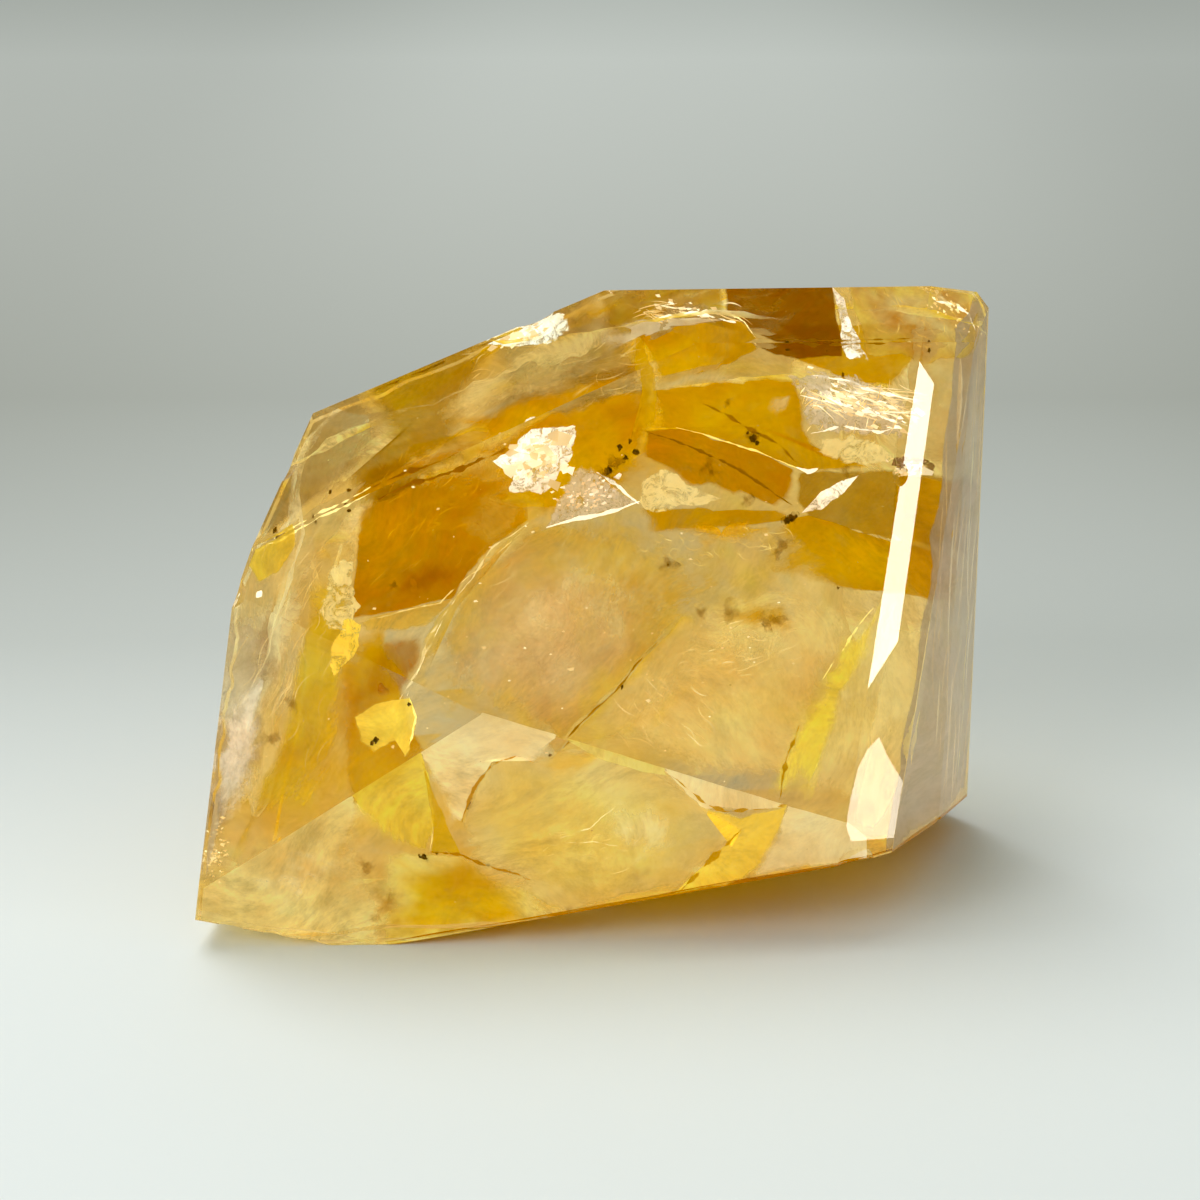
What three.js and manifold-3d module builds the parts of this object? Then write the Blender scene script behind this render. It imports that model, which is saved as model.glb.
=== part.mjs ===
// A polished free-form block of golden healer quartz: one solid stone with flat, lap-ground facets
// and a few small shell-shaped chips along its edges. Millimetres, +Z up, the stone resting on its
// flat base with the origin under the middle of its bounding box. The broad front looks towards -Y.
import * as THREE from "three";
import { ConvexGeometry } from "three/addons/geometries/ConvexGeometry.js";
import { mergeVertices } from "three/addons/utils/BufferGeometryUtils.js";
import Module from "manifold-3d";

const wasm = await Module();
wasm.setup();

// Each ground facet is a plane. bearing turns its outward normal round +Z, 0 facing -Y and 90
// facing +X. tilt raises the normal above the horizon. Both are degrees. reach is the plane's
// distance from the origin in mm.
const facets = {
  front: { bearing: 8, tilt: 10, reach: 29.1 },
  lowerFront: { bearing: 1.9, tilt: -7, reach: 23.5 },
  leftFront: { bearing: 0.1, tilt: -4.4, reach: 25.1 },
  shoulder: { bearing: -9.8, tilt: 42.4, reach: 50.9 },
  crown: { bearing: 10.3, tilt: 59, reach: 59.2 },
  crownCorner: { bearing: 43, tilt: 46.3, reach: 62.8 },
  bevel: { bearing: 35.7, tilt: 4.3, reach: 34.1 },
  side: { bearing: 66, tilt: -3.3, reach: 33.5 },
  sideRear: { bearing: 70.4, tilt: -2.9, reach: 34 },
  undercut: { bearing: 35.7, tilt: -71.9, reach: 2.6 },
  base: { bearing: 0, tilt: -90, reach: 0 },
  top: { bearing: -173.5, tilt: 63.1, reach: 48.4 },
  rearShoulder: { bearing: -143.1, tilt: 49.2, reach: 39.1 },
  leftEnd: { bearing: -101.2, tilt: 17.5, reach: 36.6 },
  leftFoot: { bearing: -101.3, tilt: 9.7, reach: 32.8 },
  toe: { bearing: -40.3, tilt: -71.5, reach: 11.2 },
  rear: { bearing: -172, tilt: 6, reach: 25.6 },
  rearLeft: { bearing: -128, tilt: 8, reach: 34.3 },
  rearRight: { bearing: 129.8, tilt: 9.9, reach: 33.4 },
  rearFoot: { bearing: -170, tilt: -48, reach: 11.1 },
};

// Chips sit where two facets meet at a height z, or where three meet. Each is a scoop of the
// given radius that bites depth mm into the edge, all in mm.
const chips = [
  { facets: ["lowerFront", "bevel", "undercut"], radius: 2.6, depth: 1.3 },
  { facets: ["front", "bevel"], z: 44.6, radius: 1.5, depth: 0.45 },
  { facets: ["shoulder", "leftEnd"], z: 46.4, radius: 2.4, depth: 0.5 },
  { facets: ["front", "leftEnd", "leftFront"], radius: 2.8, depth: 0.6 },
  { facets: ["shoulder", "rearShoulder"], z: 58.6, radius: 3.4, depth: 0.55 },
  { facets: ["lowerFront", "toe"], z: 2.2, radius: 2.2, depth: 0.4 },
  { facets: ["lowerFront", "toe"], z: 1.3, radius: 1.6, depth: 0.35 },
  { facets: ["lowerFront", "toe"], z: 0.5, radius: 1.9, depth: 0.4 },
  { facets: ["side", "undercut"], z: 5.6, radius: 1.5, depth: 0.3 },
  { facets: ["rear", "rearLeft"], z: 30, radius: 3.2, depth: 0.6 },
  { facets: ["rear", "top"], z: 49, radius: 2.5, depth: 0.5 },
];
const scoopDetail = 4; // subdivisions of the icosahedron that cuts a chip
const onPlane = 1e-4; // mm, how far a corner may lie outside a facet and still count

const colour = 0xd8a545;
const roughness = 0.06;

// The outward normal of a facet.
function normalOf({ bearing, tilt }) {
  const turn = THREE.MathUtils.degToRad(bearing);
  const rise = THREE.MathUtils.degToRad(tilt);
  return new THREE.Vector3(
    Math.sin(turn) * Math.cos(rise),
    -Math.cos(turn) * Math.cos(rise),
    Math.sin(rise),
  );
}

const planes = Object.fromEntries(
  Object.entries(facets).map(([name, facet]) => [
    name,
    { normal: normalOf(facet), reach: facet.reach },
  ]),
);

// The point that three planes share, or null where two of them are nearly parallel.
function meetingPoint(a, b, c) {
  const rows = new THREE.Matrix3().set(
    ...a.normal.toArray(),
    ...b.normal.toArray(),
    ...c.normal.toArray(),
  );
  if (Math.abs(rows.determinant()) < 1e-5) return null;
  return new THREE.Vector3(a.reach, b.reach, c.reach).applyMatrix3(rows.invert());
}

// The corners of the convex block that lies behind every facet.
function blockCorners() {
  const all = Object.values(planes);
  const corners = [];
  for (let i = 0; i < all.length; i++)
    for (let j = i + 1; j < all.length; j++)
      for (let k = j + 1; k < all.length; k++) {
        const point = meetingPoint(all[i], all[j], all[k]);
        if (point && all.every((p) => p.normal.dot(point) < p.reach + onPlane))
          corners.push(point);
      }
  return corners;
}

// A three.js geometry as a manifold-3d solid.
function toSolid(geometry) {
  const bare = geometry.clone();
  bare.deleteAttribute("normal");
  bare.deleteAttribute("uv");
  const merged = mergeVertices(bare, 1e-4);
  return new wasm.Manifold(
    new wasm.Mesh({
      numProp: 3,
      vertProperties: new Float32Array(merged.getAttribute("position").array),
      triVerts: new Uint32Array(merged.index.array),
    }),
  );
}

// The ball that scoops one chip out of an edge or a corner.
function scoop({ facets: names, z, radius, depth }) {
  const meeting = names.map((name) => planes[name]);
  const level = { normal: new THREE.Vector3(0, 0, 1), reach: z };
  const point = meetingPoint(...meeting, level);
  const outward = new THREE.Vector3();
  for (const plane of meeting) outward.add(plane.normal);
  outward.normalize();
  const ball = new THREE.IcosahedronGeometry(radius, scoopDetail);
  const centre = point.addScaledVector(outward, radius - depth);
  ball.translate(centre.x, centre.y, centre.z);
  return toSolid(ball);
}

let stone = toSolid(new ConvexGeometry(blockCorners()));
for (const chip of chips) stone = stone.subtract(scoop(chip));

const cut = stone.getMesh();
const geometry = new THREE.BufferGeometry();
geometry.setAttribute("position", new THREE.BufferAttribute(cut.vertProperties, 3));
geometry.setIndex(new THREE.BufferAttribute(cut.triVerts, 1));
geometry.computeBoundingBox();
const middle = geometry.boundingBox.getCenter(new THREE.Vector3());
geometry.translate(-middle.x, -middle.y, 0);
geometry.computeVertexNormals();

const quartz = new THREE.Mesh(
  geometry,
  new THREE.MeshStandardMaterial({ color: colour, roughness, metalness: 0 }),
);
quartz.name = "quartz";

const part = new THREE.Group();
part.add(quartz);

export default part;
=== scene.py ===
# Golden healer quartz: a polished clear stone with golden veils, milky wisps, bright cracks
# and iron specks inside it, on a pale paper floor.
import math

import bmesh
import bpy
import numpy as np
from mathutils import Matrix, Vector


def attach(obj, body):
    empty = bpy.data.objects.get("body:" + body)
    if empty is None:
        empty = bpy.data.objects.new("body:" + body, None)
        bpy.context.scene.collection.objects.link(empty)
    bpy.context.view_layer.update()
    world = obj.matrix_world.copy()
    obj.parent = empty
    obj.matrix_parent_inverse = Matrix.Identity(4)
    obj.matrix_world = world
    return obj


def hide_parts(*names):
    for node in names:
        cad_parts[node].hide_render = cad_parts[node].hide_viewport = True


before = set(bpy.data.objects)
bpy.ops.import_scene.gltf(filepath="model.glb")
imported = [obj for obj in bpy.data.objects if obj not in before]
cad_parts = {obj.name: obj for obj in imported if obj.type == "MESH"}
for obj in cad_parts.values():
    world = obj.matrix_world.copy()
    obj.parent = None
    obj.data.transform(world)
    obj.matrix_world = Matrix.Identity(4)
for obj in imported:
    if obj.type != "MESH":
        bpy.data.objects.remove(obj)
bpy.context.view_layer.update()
scene = bpy.context.scene
mm = 0.001
quartzIor = 1.544
brightest = 0.985  # no film gives back more light than this share
warmShift = (0.4, 1.0, 1.6)  # clouds change the blue most, so that thick growth looks warmer
warmFade = (0.6, 1.0, 1.7)  # powers that make the darker slivers warmer too

# The photograph's camera. Pixels in this file are in the photograph's own frame.
photo = {
    "side": 1200,
    "target": (-0.0001, -0.0012, 0.027),
    "distance": 0.290,
    "elevation": 18.0,
    "halfAngle": 11.7,
    "sensor": 36,
}


def cameraBack():
    rise = math.radians(photo["elevation"])
    return np.array([0, -math.cos(rise), math.sin(rise)])


def makeCamera():
    back = Vector(cameraBack())
    data = bpy.data.cameras.new("camera")
    data.sensor_width = photo["sensor"]
    data.lens = photo["sensor"] / 2 / math.tan(math.radians(photo["halfAngle"]))
    data.clip_start = 0.01
    camera = bpy.data.objects.new("camera", data)
    scene.collection.objects.link(camera)
    camera.location = Vector(photo["target"]) + back * photo["distance"]
    camera.rotation_euler = (-back).to_track_quat("-Z", "Y").to_euler()
    scene.camera = camera


# The eye point and the unit directions of the camera's rays through photo pixels.
def photoRays(pixels):
    back = cameraBack()
    right = np.array([1.0, 0, 0])
    up = np.cross(back, right)
    half = photo["side"] / 2
    spread = math.tan(math.radians(photo["halfAngle"]))
    x = (pixels[..., 0] - half) / half * spread
    y = (half - pixels[..., 1]) / half * spread
    way = -back + x[..., None] * right + y[..., None] * up
    eye = np.array(photo["target"]) + back * photo["distance"]
    return eye, way / np.linalg.norm(way, axis=-1)[..., None]


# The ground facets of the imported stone: its triangles' planes, grouped where normal and reach
# agree, without the groups that are as small as a chip's.
def facetPlanes(node, smallest=6e-6, reachStep=20):
    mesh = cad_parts[node].data
    count = len(mesh.polygons)
    normals, centres, areas = np.zeros(count * 3), np.zeros(count * 3), np.zeros(count)
    mesh.polygons.foreach_get("normal", normals)
    mesh.polygons.foreach_get("center", centres)
    mesh.polygons.foreach_get("area", areas)
    normals = normals.reshape(-1, 3)
    reach = (normals * centres.reshape(-1, 3)).sum(1)
    keys = np.round(np.c_[normals, reach * reachStep], 2)
    groups, member = np.unique(keys, axis=0, return_inverse=True)
    total = np.bincount(member.ravel(), areas)
    found = []
    for group in np.flatnonzero(total > smallest):
        weight = areas * (member.ravel() == group)
        normal = (normals * weight[:, None]).sum(0)
        normal /= np.linalg.norm(normal)
        found.append([*normal, (reach * weight).sum() / weight.sum()])
    return np.array(found)


planes = facetPlanes("quartz")
print("facets found:", len(planes))


# The facet by which the camera's ray through one pixel enters the stone: the last plane that
# the ray crosses on its way in.
def entryPlane(pixel):
    eye, way = photoRays(np.array(pixel, float))
    facing = planes[:, :3] @ way
    steps = (planes[:, 3] - planes[:, :3] @ eye) / facing
    steps[facing > -1e-6] = -1
    return planes[int(np.argmax(steps))]


# Points at a depth in mm inside the stone, where the camera sees them at those pixels through
# one facet: each ray is bent there by Snell's law.
def insideStone(pixels, depth, through, shallowest=0.3):
    plane = entryPlane(through)
    eye, way = photoRays(pixels)
    normal = plane[:3]
    facing = way @ normal
    step = (plane[3] - normal @ eye) / facing
    ratio = 1 / quartzIor
    sideways = np.sqrt(1 - ratio**2 * (1 - facing**2))
    bent = ratio * way - (ratio * facing + sideways)[..., None] * normal
    return eye + way * step[..., None] + bent * np.maximum(depth, shallowest)[..., None] * mm


waveSum = {"ways": 5, "level": 2.2, "fade": 1.9, "shorten": 2.1}


# Smooth bumps of about one unit: sums of sine waves in random directions, each layer shorter
# and weaker than the last.
def waves(points, size, seed, layers=4):
    rng = np.random.default_rng(seed)
    total = np.zeros(points.shape[:-1])
    for layer in range(layers):
        ways = rng.normal(size=(waveSum["ways"], points.shape[-1]))
        ways /= np.linalg.norm(ways, axis=1)[:, None]
        phases = rng.uniform(0, 2 * math.pi, waveSum["ways"])
        swing = np.sin(points @ ways.T * 2 * math.pi / size + phases).sum(-1)
        total += swing / (waveSum["level"] * waveSum["fade"]**layer)
        size /= waveSum["shorten"]
    return total


# Nought below low, one above high, and an S-shaped cubic between them.
def smooth(value, low, high):
    share = np.clip((value - low) / (high - low), 0, 1)
    return share * share * (3 - 2 * share)


edgeLook = {"waveSize": 40, "layers": 5, "straightBelow": 0.05}


# A closed line through given points, evenly spaced, pushed in and out by waves around its
# middle. It stays straight where the edge is hard.
def closedOutline(points, count, ragged, seed):
    corners = np.array(points, float)
    loop = np.vstack([corners, corners[:1]])
    lengths = np.r_[0, np.cumsum(np.hypot(*np.diff(loop[:, :2], axis=0).T))]
    along = np.linspace(0, lengths[-1], count, endpoint=False)
    line = np.stack([np.interp(along, lengths, loop[:, k]) for k in range(loop.shape[1])], 1)
    away = line[:, :2] - line[:, :2].mean(0)
    away /= np.linalg.norm(away, axis=1)[:, None]
    turn = 2 * math.pi * along / lengths[-1]
    ring = np.stack([np.cos(turn), np.sin(turn)], 1) * lengths[-1] / (2 * math.pi)
    free = np.minimum(line[:, 2] / edgeLook["straightBelow"], 1)
    push = waves(ring, edgeLook["waveSize"], seed, edgeLook["layers"])
    line[:, :2] += away * (push * ragged * free)[:, None]
    return line


# Four-cornered faces between neighbouring points of a grid, joined round if it is closed.
def gridFaces(rows, columns, closed):
    row, column = np.meshgrid(np.arange(rows - 1), np.arange(columns - (not closed)), indexing="ij")
    after = (column + 1) % columns
    a, b = row * columns + column, row * columns + after
    return np.stack([a, b, b + columns, a + columns], -1).reshape(-1, 4)


# Coordinates for silky streaks: offsets turned by an angle and drawn out along it, bent by
# waves so that the streaks flow. The third one sets each veil's own pattern.
def grainOf(away, angle, seed, long=50, thin=26, bend=0.7):
    turn = math.radians(angle)
    along = away[..., 0] * math.cos(turn) + away[..., 1] * math.sin(turn)
    across = away[..., 1] * math.cos(turn) - away[..., 0] * math.sin(turn)
    across = across + waves(away, long * 3, seed + 5, 1) * thin * bend
    return np.stack([along / long, across / thin, np.full(along.shape, seed * 0.37)], -1)


# A tone lightened and darkened by a cloud pattern, the blue most of all.
def clouded(tone, cloud, mottle):
    return np.clip(tone * (1 + mottle * cloud[..., None] * warmShift), 0, brightest)


# Depth and wave are mm inside the facet; sizes of patterns are photo pixels.
plainVeil = {"ragged": 1.4, "blur": 1.6, "wave": 0.5, "waveSize": 90, "cloudSize": 130, "mottle": 0.06,
             "dense": 1.0, "slope": (0, 0), "streak": -50, "shine": 1.0, "silk": 0.8,
             "cloudLayers": 5, "cloudInCover": 0.1, "cloudInRim": 0.12, "cloudInLean": 0.15, "rimFrom": 0.45,
             "softest": 0.03, "edgeCover": 0.1, "hardCover": 1.3}


# One veil: rings of points shrink from its outline to its middle, at a depth that slopes
# across it and is crumpled by waves. Its cover falls to nothing over each edge's softness,
# and its tone turns from the middle's to the rim's, or leans from one side to the other.
def veilSheet(row, seed, rings=24, spokes=130):
    veil = {**plainVeil, **row}
    line = closedOutline(veil["outline"], spokes, veil["ragged"], seed)
    middle = np.array(veil.get("middle", line[:, :2].mean(0)))
    shrink = np.linspace(1, 0.01, rings)[:, None]
    pixels = middle + shrink[..., None] * (line[None, :, :2] - middle)
    soft = np.maximum(line[:, 2] * veil["blur"], veil["softest"])
    cover = np.minimum((1 - shrink) / soft, 1) * (1 - veil["edgeCover"]) + veil["edgeCover"]
    cover = np.where(line[:, 2] < 0.01, veil["hardCover"], cover)
    away = (pixels - middle) / 100
    slopeX, slopeY = veil["slope"]
    depth = veil["depth"] + slopeX * away[..., 0] + slopeY * away[..., 1]
    depth = depth + waves(pixels, veil["waveSize"], seed + 1) * veil["wave"]
    places = insideStone(pixels, depth, veil.get("through", middle))
    cloud = waves(pixels, veil["cloudSize"], seed + 2, veil["cloudLayers"])
    cover = cover + cloud * veil["cloudInCover"] * (cover < 1)
    toRim = smooth(shrink + cloud * veil["cloudInRim"], veil["rimFrom"], 1.0)[..., None]
    tone = np.array(veil["tone"]) * (1 - toRim) + np.array(veil.get("rim", veil["tone"])) * toRim
    if "lean" in veil:
        far, leanX, leanY = veil["lean"]
        share = away[..., 0] * leanX + away[..., 1] * leanY + cloud * veil["cloudInLean"]
        share = smooth(share, -0.5, 0.5)[..., None]
        tone = tone * (1 - share) + np.array(far) * share
    tone = clouded(tone, cloud, veil["mottle"])
    dense = np.full(cover.shape, veil["dense"])
    return {"places": places, "faces": gridFaces(rings, spokes, True), "cover": cover,
            "tone": np.dstack([tone, dense]), "grain": grainOf(pixels - middle, veil["streak"], seed),
            "shine": np.full(cover.size, veil["shine"]), "silk": np.full(cover.size, veil["silk"])}


# The facet whose normal is nearest to a compass bearing from the front and a tilt upwards.
def facetTowards(bearing, tilt):
    b, t = math.radians(bearing), math.radians(tilt)
    way = (math.sin(b) * math.cos(t), -math.cos(b) * math.cos(t), math.sin(t))
    return planes[int(np.argmax(planes[:, :3] @ way))]


# Here all sizes are mm.
plainHaze = {"cells": 64, "half": 46, "middle": (0, 0, 0.028), "upwards": (0.2, 0.1, 1.0), "wave": 0.8,
             "waveSize": 26, "cloudSize": 24, "cloudLayers": 5, "driftSize": 40, "drift": (-0.6, 0.9),
             "mottle": 0.07, "cover": 0.6, "cloudInCover": 0.3, "dense": 0.85, "streak": 30,
             "long": 7.0, "thin": 2.8}


# A cloudy layer along one facet: a square grid a few mm inside it, heaved by waves, whose
# cover and tone drift with broader waves.
def facetHaze(row, seed):
    haze = {**plainHaze, **row}
    *normal, reach = facetTowards(*haze["facet"])
    normal = np.array(normal)
    across = np.cross(normal, haze["upwards"])
    across /= np.linalg.norm(across)
    upward = np.cross(normal, across)
    steps = np.linspace(-haze["half"], haze["half"], haze["cells"])
    u, v = np.meshgrid(steps, steps, indexing="ij")
    flat = np.stack([u, v], -1)
    depth = haze["depth"] + waves(flat, haze["waveSize"], seed) * haze["wave"]
    middle = np.array(haze["middle"])
    middle = middle + normal * (reach - normal @ middle)
    places = middle + (u[..., None] * across + v[..., None] * upward - depth[..., None] * normal) * mm
    cloud = waves(flat, haze["cloudSize"], seed + 1, haze["cloudLayers"])
    drift = smooth(waves(flat, haze["driftSize"], seed + 2), *haze["drift"])[..., None]
    tone = np.array(haze["tone"]) * (1 - drift) + np.array(haze["other"]) * drift
    tone = clouded(tone, cloud, haze["mottle"])
    cover = haze["cover"] + haze["cloudInCover"] * cloud
    dense = np.full(cover.shape, haze["dense"])
    return {"places": places, "faces": gridFaces(haze["cells"], haze["cells"], False), "cover": cover,
            "tone": np.dstack([tone, dense]),
            "grain": grainOf(flat, haze["streak"], seed, haze["long"], haze["thin"]),
            "shine": np.ones(cover.size), "silk": np.ones(cover.size)}


# Shades from dark to full, most of them dark, with the dark ones warmer.
def sliverShades(rng, shape):
    return (0.5 + 0.5 * rng.uniform(0, 1, shape) ** 2) ** warmFade


plainStrands = {"fan": 10, "bend": 0.12, "width": 1.3, "deep": 1.0, "tilt": 0.6, "dense": 0.9}


# Many thin bent ribbons: each runs from a random start along the bundle's direction, is bent
# by a parabola and narrows to both ends as a cosine.
def strandSheets(row, seed, steps=9):
    bundle = {**plainStrands, **row}
    rng = np.random.default_rng(seed)
    count = bundle["count"]
    start = np.array(bundle["middle"]) + (rng.uniform(-1, 1, (count, 2)) * bundle["spread"])
    angle = np.radians(bundle["angle"] + rng.normal(0, bundle["fan"], count))
    length = bundle["length"] * rng.uniform(0.3, 1.0, count)
    along = np.linspace(-0.5, 0.5, steps)
    way = np.stack([np.cos(angle), np.sin(angle)], 1)
    side = np.stack([-way[:, 1], way[:, 0]], 1)
    bend = rng.normal(0, bundle["bend"], count) * length
    spine = (start[:, None] + way[:, None] * (along * length[:, None])[..., None]
             + side[:, None] * (bend[:, None] * (4 * along**2 - 1))[..., None])
    taper = np.cos(along * 2.9)
    width = bundle["width"] * rng.uniform(0.4, 1.0, count)[:, None] * taper
    edges = spine[:, :, None] + side[:, None, None] * (width[..., None] * (-0.5, 0.5))[..., None]
    depth = bundle["depth"] + rng.uniform(-1, 1, count) * bundle["deep"]
    tilt = rng.normal(0, bundle["tilt"], (count, 2))
    depth = depth[:, None, None] + tilt[:, None, :1] * along[None, :, None] + tilt[:, None, 1:] * (-0.2, 0.2)
    places = insideStone(edges, depth, bundle.get("through", bundle["middle"]))
    one = gridFaces(steps, 2, False)
    faces = (one[None] + (np.arange(count) * steps * 2)[:, None, None]).reshape(-1, 4)
    shades = sliverShades(rng, (count, 1, 1, 1))
    tone = np.ones(edges.shape[:3])[..., None] * np.array(bundle["tone"]) * shades
    dense = np.full(edges.shape[:3], bundle["dense"])
    return {"places": places, "faces": faces, "cover": np.ones(dense.size),
            "tone": np.concatenate([tone, dense[..., None]], -1)}


plainLine = {"ragged": 0.8, "broken": 0.8, "dense": 0.9, "bendSize": 60, "breakSize": 22, "lift": 0.2,
             "slant": 0.15, "endWidth": 0.3}


# One ribbon along given photo points, bent by waves: its width swells as a sine and is
# broken up by waves. The waves are read along a slanting line, so that they don't repeat.
def lineSheet(row, seed, steps=60):
    line = {**plainLine, **row}
    corners = np.array(line["path"], float)
    lengths = np.r_[0, np.cumsum(np.hypot(*np.diff(corners, axis=0).T))]
    along = np.linspace(0, lengths[-1], steps)
    spine = np.stack([np.interp(along, lengths, corners[:, k]) for k in (0, 1)], 1)
    way = np.gradient(spine, axis=0)
    way /= np.linalg.norm(way, axis=1)[:, None]
    side = np.stack([-way[:, 1], way[:, 0]], 1)
    slanting = along[:, None] * (0.8, 0.6)
    ripple = waves(slanting, line["bendSize"], seed, 5)
    spine += side * (ripple * line["ragged"])[:, None]
    swell = line["endWidth"] + np.sin(math.pi * along / lengths[-1])
    gaps = np.maximum(1 + line["broken"] * waves(slanting, line["breakSize"], seed + 1), 0)
    width = line["width"] * swell * gaps
    edges = spine[:, None] + side[:, None] * (width[:, None] * (-0.5, 0.5))[..., None]
    depth = line["depth"] + ripple * line["lift"]
    depth = np.stack([depth, depth + line["slant"]], 1)
    places = insideStone(edges, depth, line.get("through", corners.mean(0)))
    return {"places": places, "faces": gridFaces(steps, 2, False), "cover": np.ones(steps * 2),
            "tone": np.ones((steps * 2, 1)) * [*line["tone"], line["dense"]]}


plainFlakes = {"angle": 0, "long": 1.6, "slant": 0.05, "deep": 0.8, "dense": 0.9}


# Many little tilted four-cornered flakes, strewn inside a soft ellipse of photo pixels.
def flakeSheets(row, seed):
    patch = {**plainFlakes, **row}
    rng = np.random.default_rng(seed)
    count = patch["count"]
    turn = math.radians(patch["angle"])
    strewn = rng.normal(0, 0.5, (count, 2)).clip(-1.1, 1.1) * patch["spread"]
    turned = np.array([[math.cos(turn), math.sin(turn)], [-math.sin(turn), math.cos(turn)]])
    middles = np.array(patch["middle"]) + strewn @ turned
    corner = np.arange(4) * math.pi / 2 + rng.uniform(-0.5, 0.5, (count, 4)) + rng.uniform(0, 6, (count, 1))
    size = patch["size"] * rng.lognormal(0, 0.45, count)[:, None] * rng.uniform(0.5, 1.0, (count, 4))
    offsets = np.stack([np.cos(corner) * patch["long"], np.sin(corner)], -1) * size[..., None]
    pixels = middles[:, None] + offsets @ turned
    slant = rng.normal(0, patch["slant"], (count, 1, 2))
    depth = patch["depth"] + rng.uniform(-1, 1, (count, 1)) * patch["deep"] + (slant * offsets).sum(-1)
    places = insideStone(pixels, depth, patch.get("through", patch["middle"]))
    tone = np.ones((count, 4, 1)) * np.array(patch["tone"]) * sliverShades(rng, (count, 1, 1))
    dense = np.full((count, 4, 1), patch["dense"])
    return {"places": places, "faces": np.arange(count * 4).reshape(-1, 4), "cover": np.ones(count * 4),
            "tone": np.dstack([tone, dense])}


# Cuts a mesh off at every facet, a small gap inside the stone's skin.
def cutInside(mesh, gap):
    cutter = bmesh.new()
    cutter.from_mesh(mesh)
    for *normal, reach in planes:
        everything = cutter.verts[:] + cutter.edges[:] + cutter.faces[:]
        bmesh.ops.bisect_plane(cutter, geom=everything, plane_co=Vector(normal) * (reach - gap),
                               plane_no=Vector(normal), clear_outer=True)
    cutter.to_mesh(mesh)
    cutter.free()


# Each attribute's kind, the name of its values and how many numbers a point has.
attributeKinds = {"cover": ("FLOAT", "value", 1), "tone": ("FLOAT_COLOR", "color", 4),
                  "grain": ("FLOAT_VECTOR", "vector", 3), "shine": ("FLOAT", "value", 1),
                  "silk": ("FLOAT", "value", 1)}


# Joins sheets of points, faces and attributes into one piece, cut off inside the facets.
def makeSheets(name, sheets, material, smoothShaded=True, gap=0.16 * mm):
    places = [sheet["places"].reshape(-1, 3) for sheet in sheets]
    starts = np.cumsum([0] + [len(points) for points in places])
    faces = np.vstack([sheet["faces"] + start for sheet, start in zip(sheets, starts)])
    mesh = bpy.data.meshes.new(name)
    mesh.from_pydata(np.vstack(places).tolist(), [], faces.tolist())
    for key, (kind, values, width) in attributeKinds.items():
        if key in sheets[0]:
            joined = np.vstack([sheet[key].reshape(-1, width) for sheet in sheets]).astype(np.float32)
            mesh.attributes.new(key, kind, "POINT").data.foreach_set(values, joined.ravel())
    cutInside(mesh, gap)
    mesh.polygons.foreach_set("use_smooth", np.full(len(mesh.polygons), smoothShaded))
    piece = bpy.data.objects.new(name, mesh)
    scene.collection.objects.link(piece)
    mesh.materials.append(material)
    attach(piece, "root")
    print(name, "faces:", len(mesh.polygons))


# A short way to lay out one material's nodes.
class Nodes:
    def __init__(self, name):
        self.material = bpy.data.materials.new(name)
        self.material.use_nodes = True
        self.material.cycles.emission_sampling = "NONE"
        self.tree = self.material.node_tree
        self.tree.nodes.clear()
        self.out = self.tree.nodes.new("ShaderNodeOutputMaterial")

    def add(self, kind, values=None, **settings):
        node = self.tree.nodes.new("ShaderNode" + kind)
        for key, value in settings.items():
            setattr(node, key, value)
        for key, value in (values or {}).items():
            if hasattr(value, "is_output"):
                self.tree.links.new(value, node.inputs[key])
            else:
                node.inputs[key].default_value = value
        return node

    def share(self, attribute):
        return self.add("Attribute", attribute_name=attribute).outputs["Fac"]

    def math(self, operation, a, b=0.0, clamp=False):
        return self.add("Math", {0: a, 1: b}, operation=operation, use_clamp=clamp).outputs[0]

    # A value plus so much of a noise that swings around one half.
    def frayed(self, value, noise, much):
        return self.math("ADD", value, self.math("MULTIPLY", self.math("SUBTRACT", noise, 0.5), much))

    def span(self, value, low, high, toLow=0.0, toHigh=1.0):
        node = self.add("MapRange", {"Value": value, "From Min": low, "From Max": high,
                                     "To Min": toLow, "To Max": toHigh}, interpolation_type="SMOOTHSTEP")
        return node.outputs["Result"]

    def noise(self, scale, detail=3.0, distortion=0.0, rough=0.55):
        where = self.add("TexCoord").outputs["Object"]
        return self.add("TexNoise", {"Vector": where, "Scale": scale, "Detail": detail, "Roughness": rough,
                                     "Distortion": distortion})

    def scale(self, colour, factor):
        return self.add("VectorMath", {0: colour, 3: factor}, operation="SCALE").outputs[0]

    def mix(self, share, a, b):
        return self.add("MixShader", {0: share, 1: a.outputs[0], 2: b.outputs[0]})

    # Scatters light to the front and to the back alike.
    def bothWays(self, colour):
        return self.mix(0.5, self.add("BsdfDiffuse", {"Color": colour}),
                        self.add("BsdfTranslucent", {"Color": colour}))

    # Adds a painted glow of the same colour to a shader: emission on a surface that is no lamp.
    def addPaintedGlow(self, shader, colour, strength):
        gleam = self.add("Emission", {"Color": colour, "Strength": strength})
        return self.add("AddShader", {0: shader.outputs[0], 1: gleam.outputs[0]})

    # Lets the mask's share of a shader show, and the rest be clear.
    def masked(self, mask, shader):
        return self.finish(self.mix(mask, self.add("BsdfTransparent"), shader))

    def finish(self, shader):
        self.tree.links.new(shader.outputs[0], self.out.inputs["Surface"])
        return self.material


polish = {"tint": (1.0, 0.93, 0.64, 1), "roughness": 0.004, "edge": 0.2 * mm, "segments": 2,
          "sharpest": 8, "flattest": 0.5, "weld": 1e-6}


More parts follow.
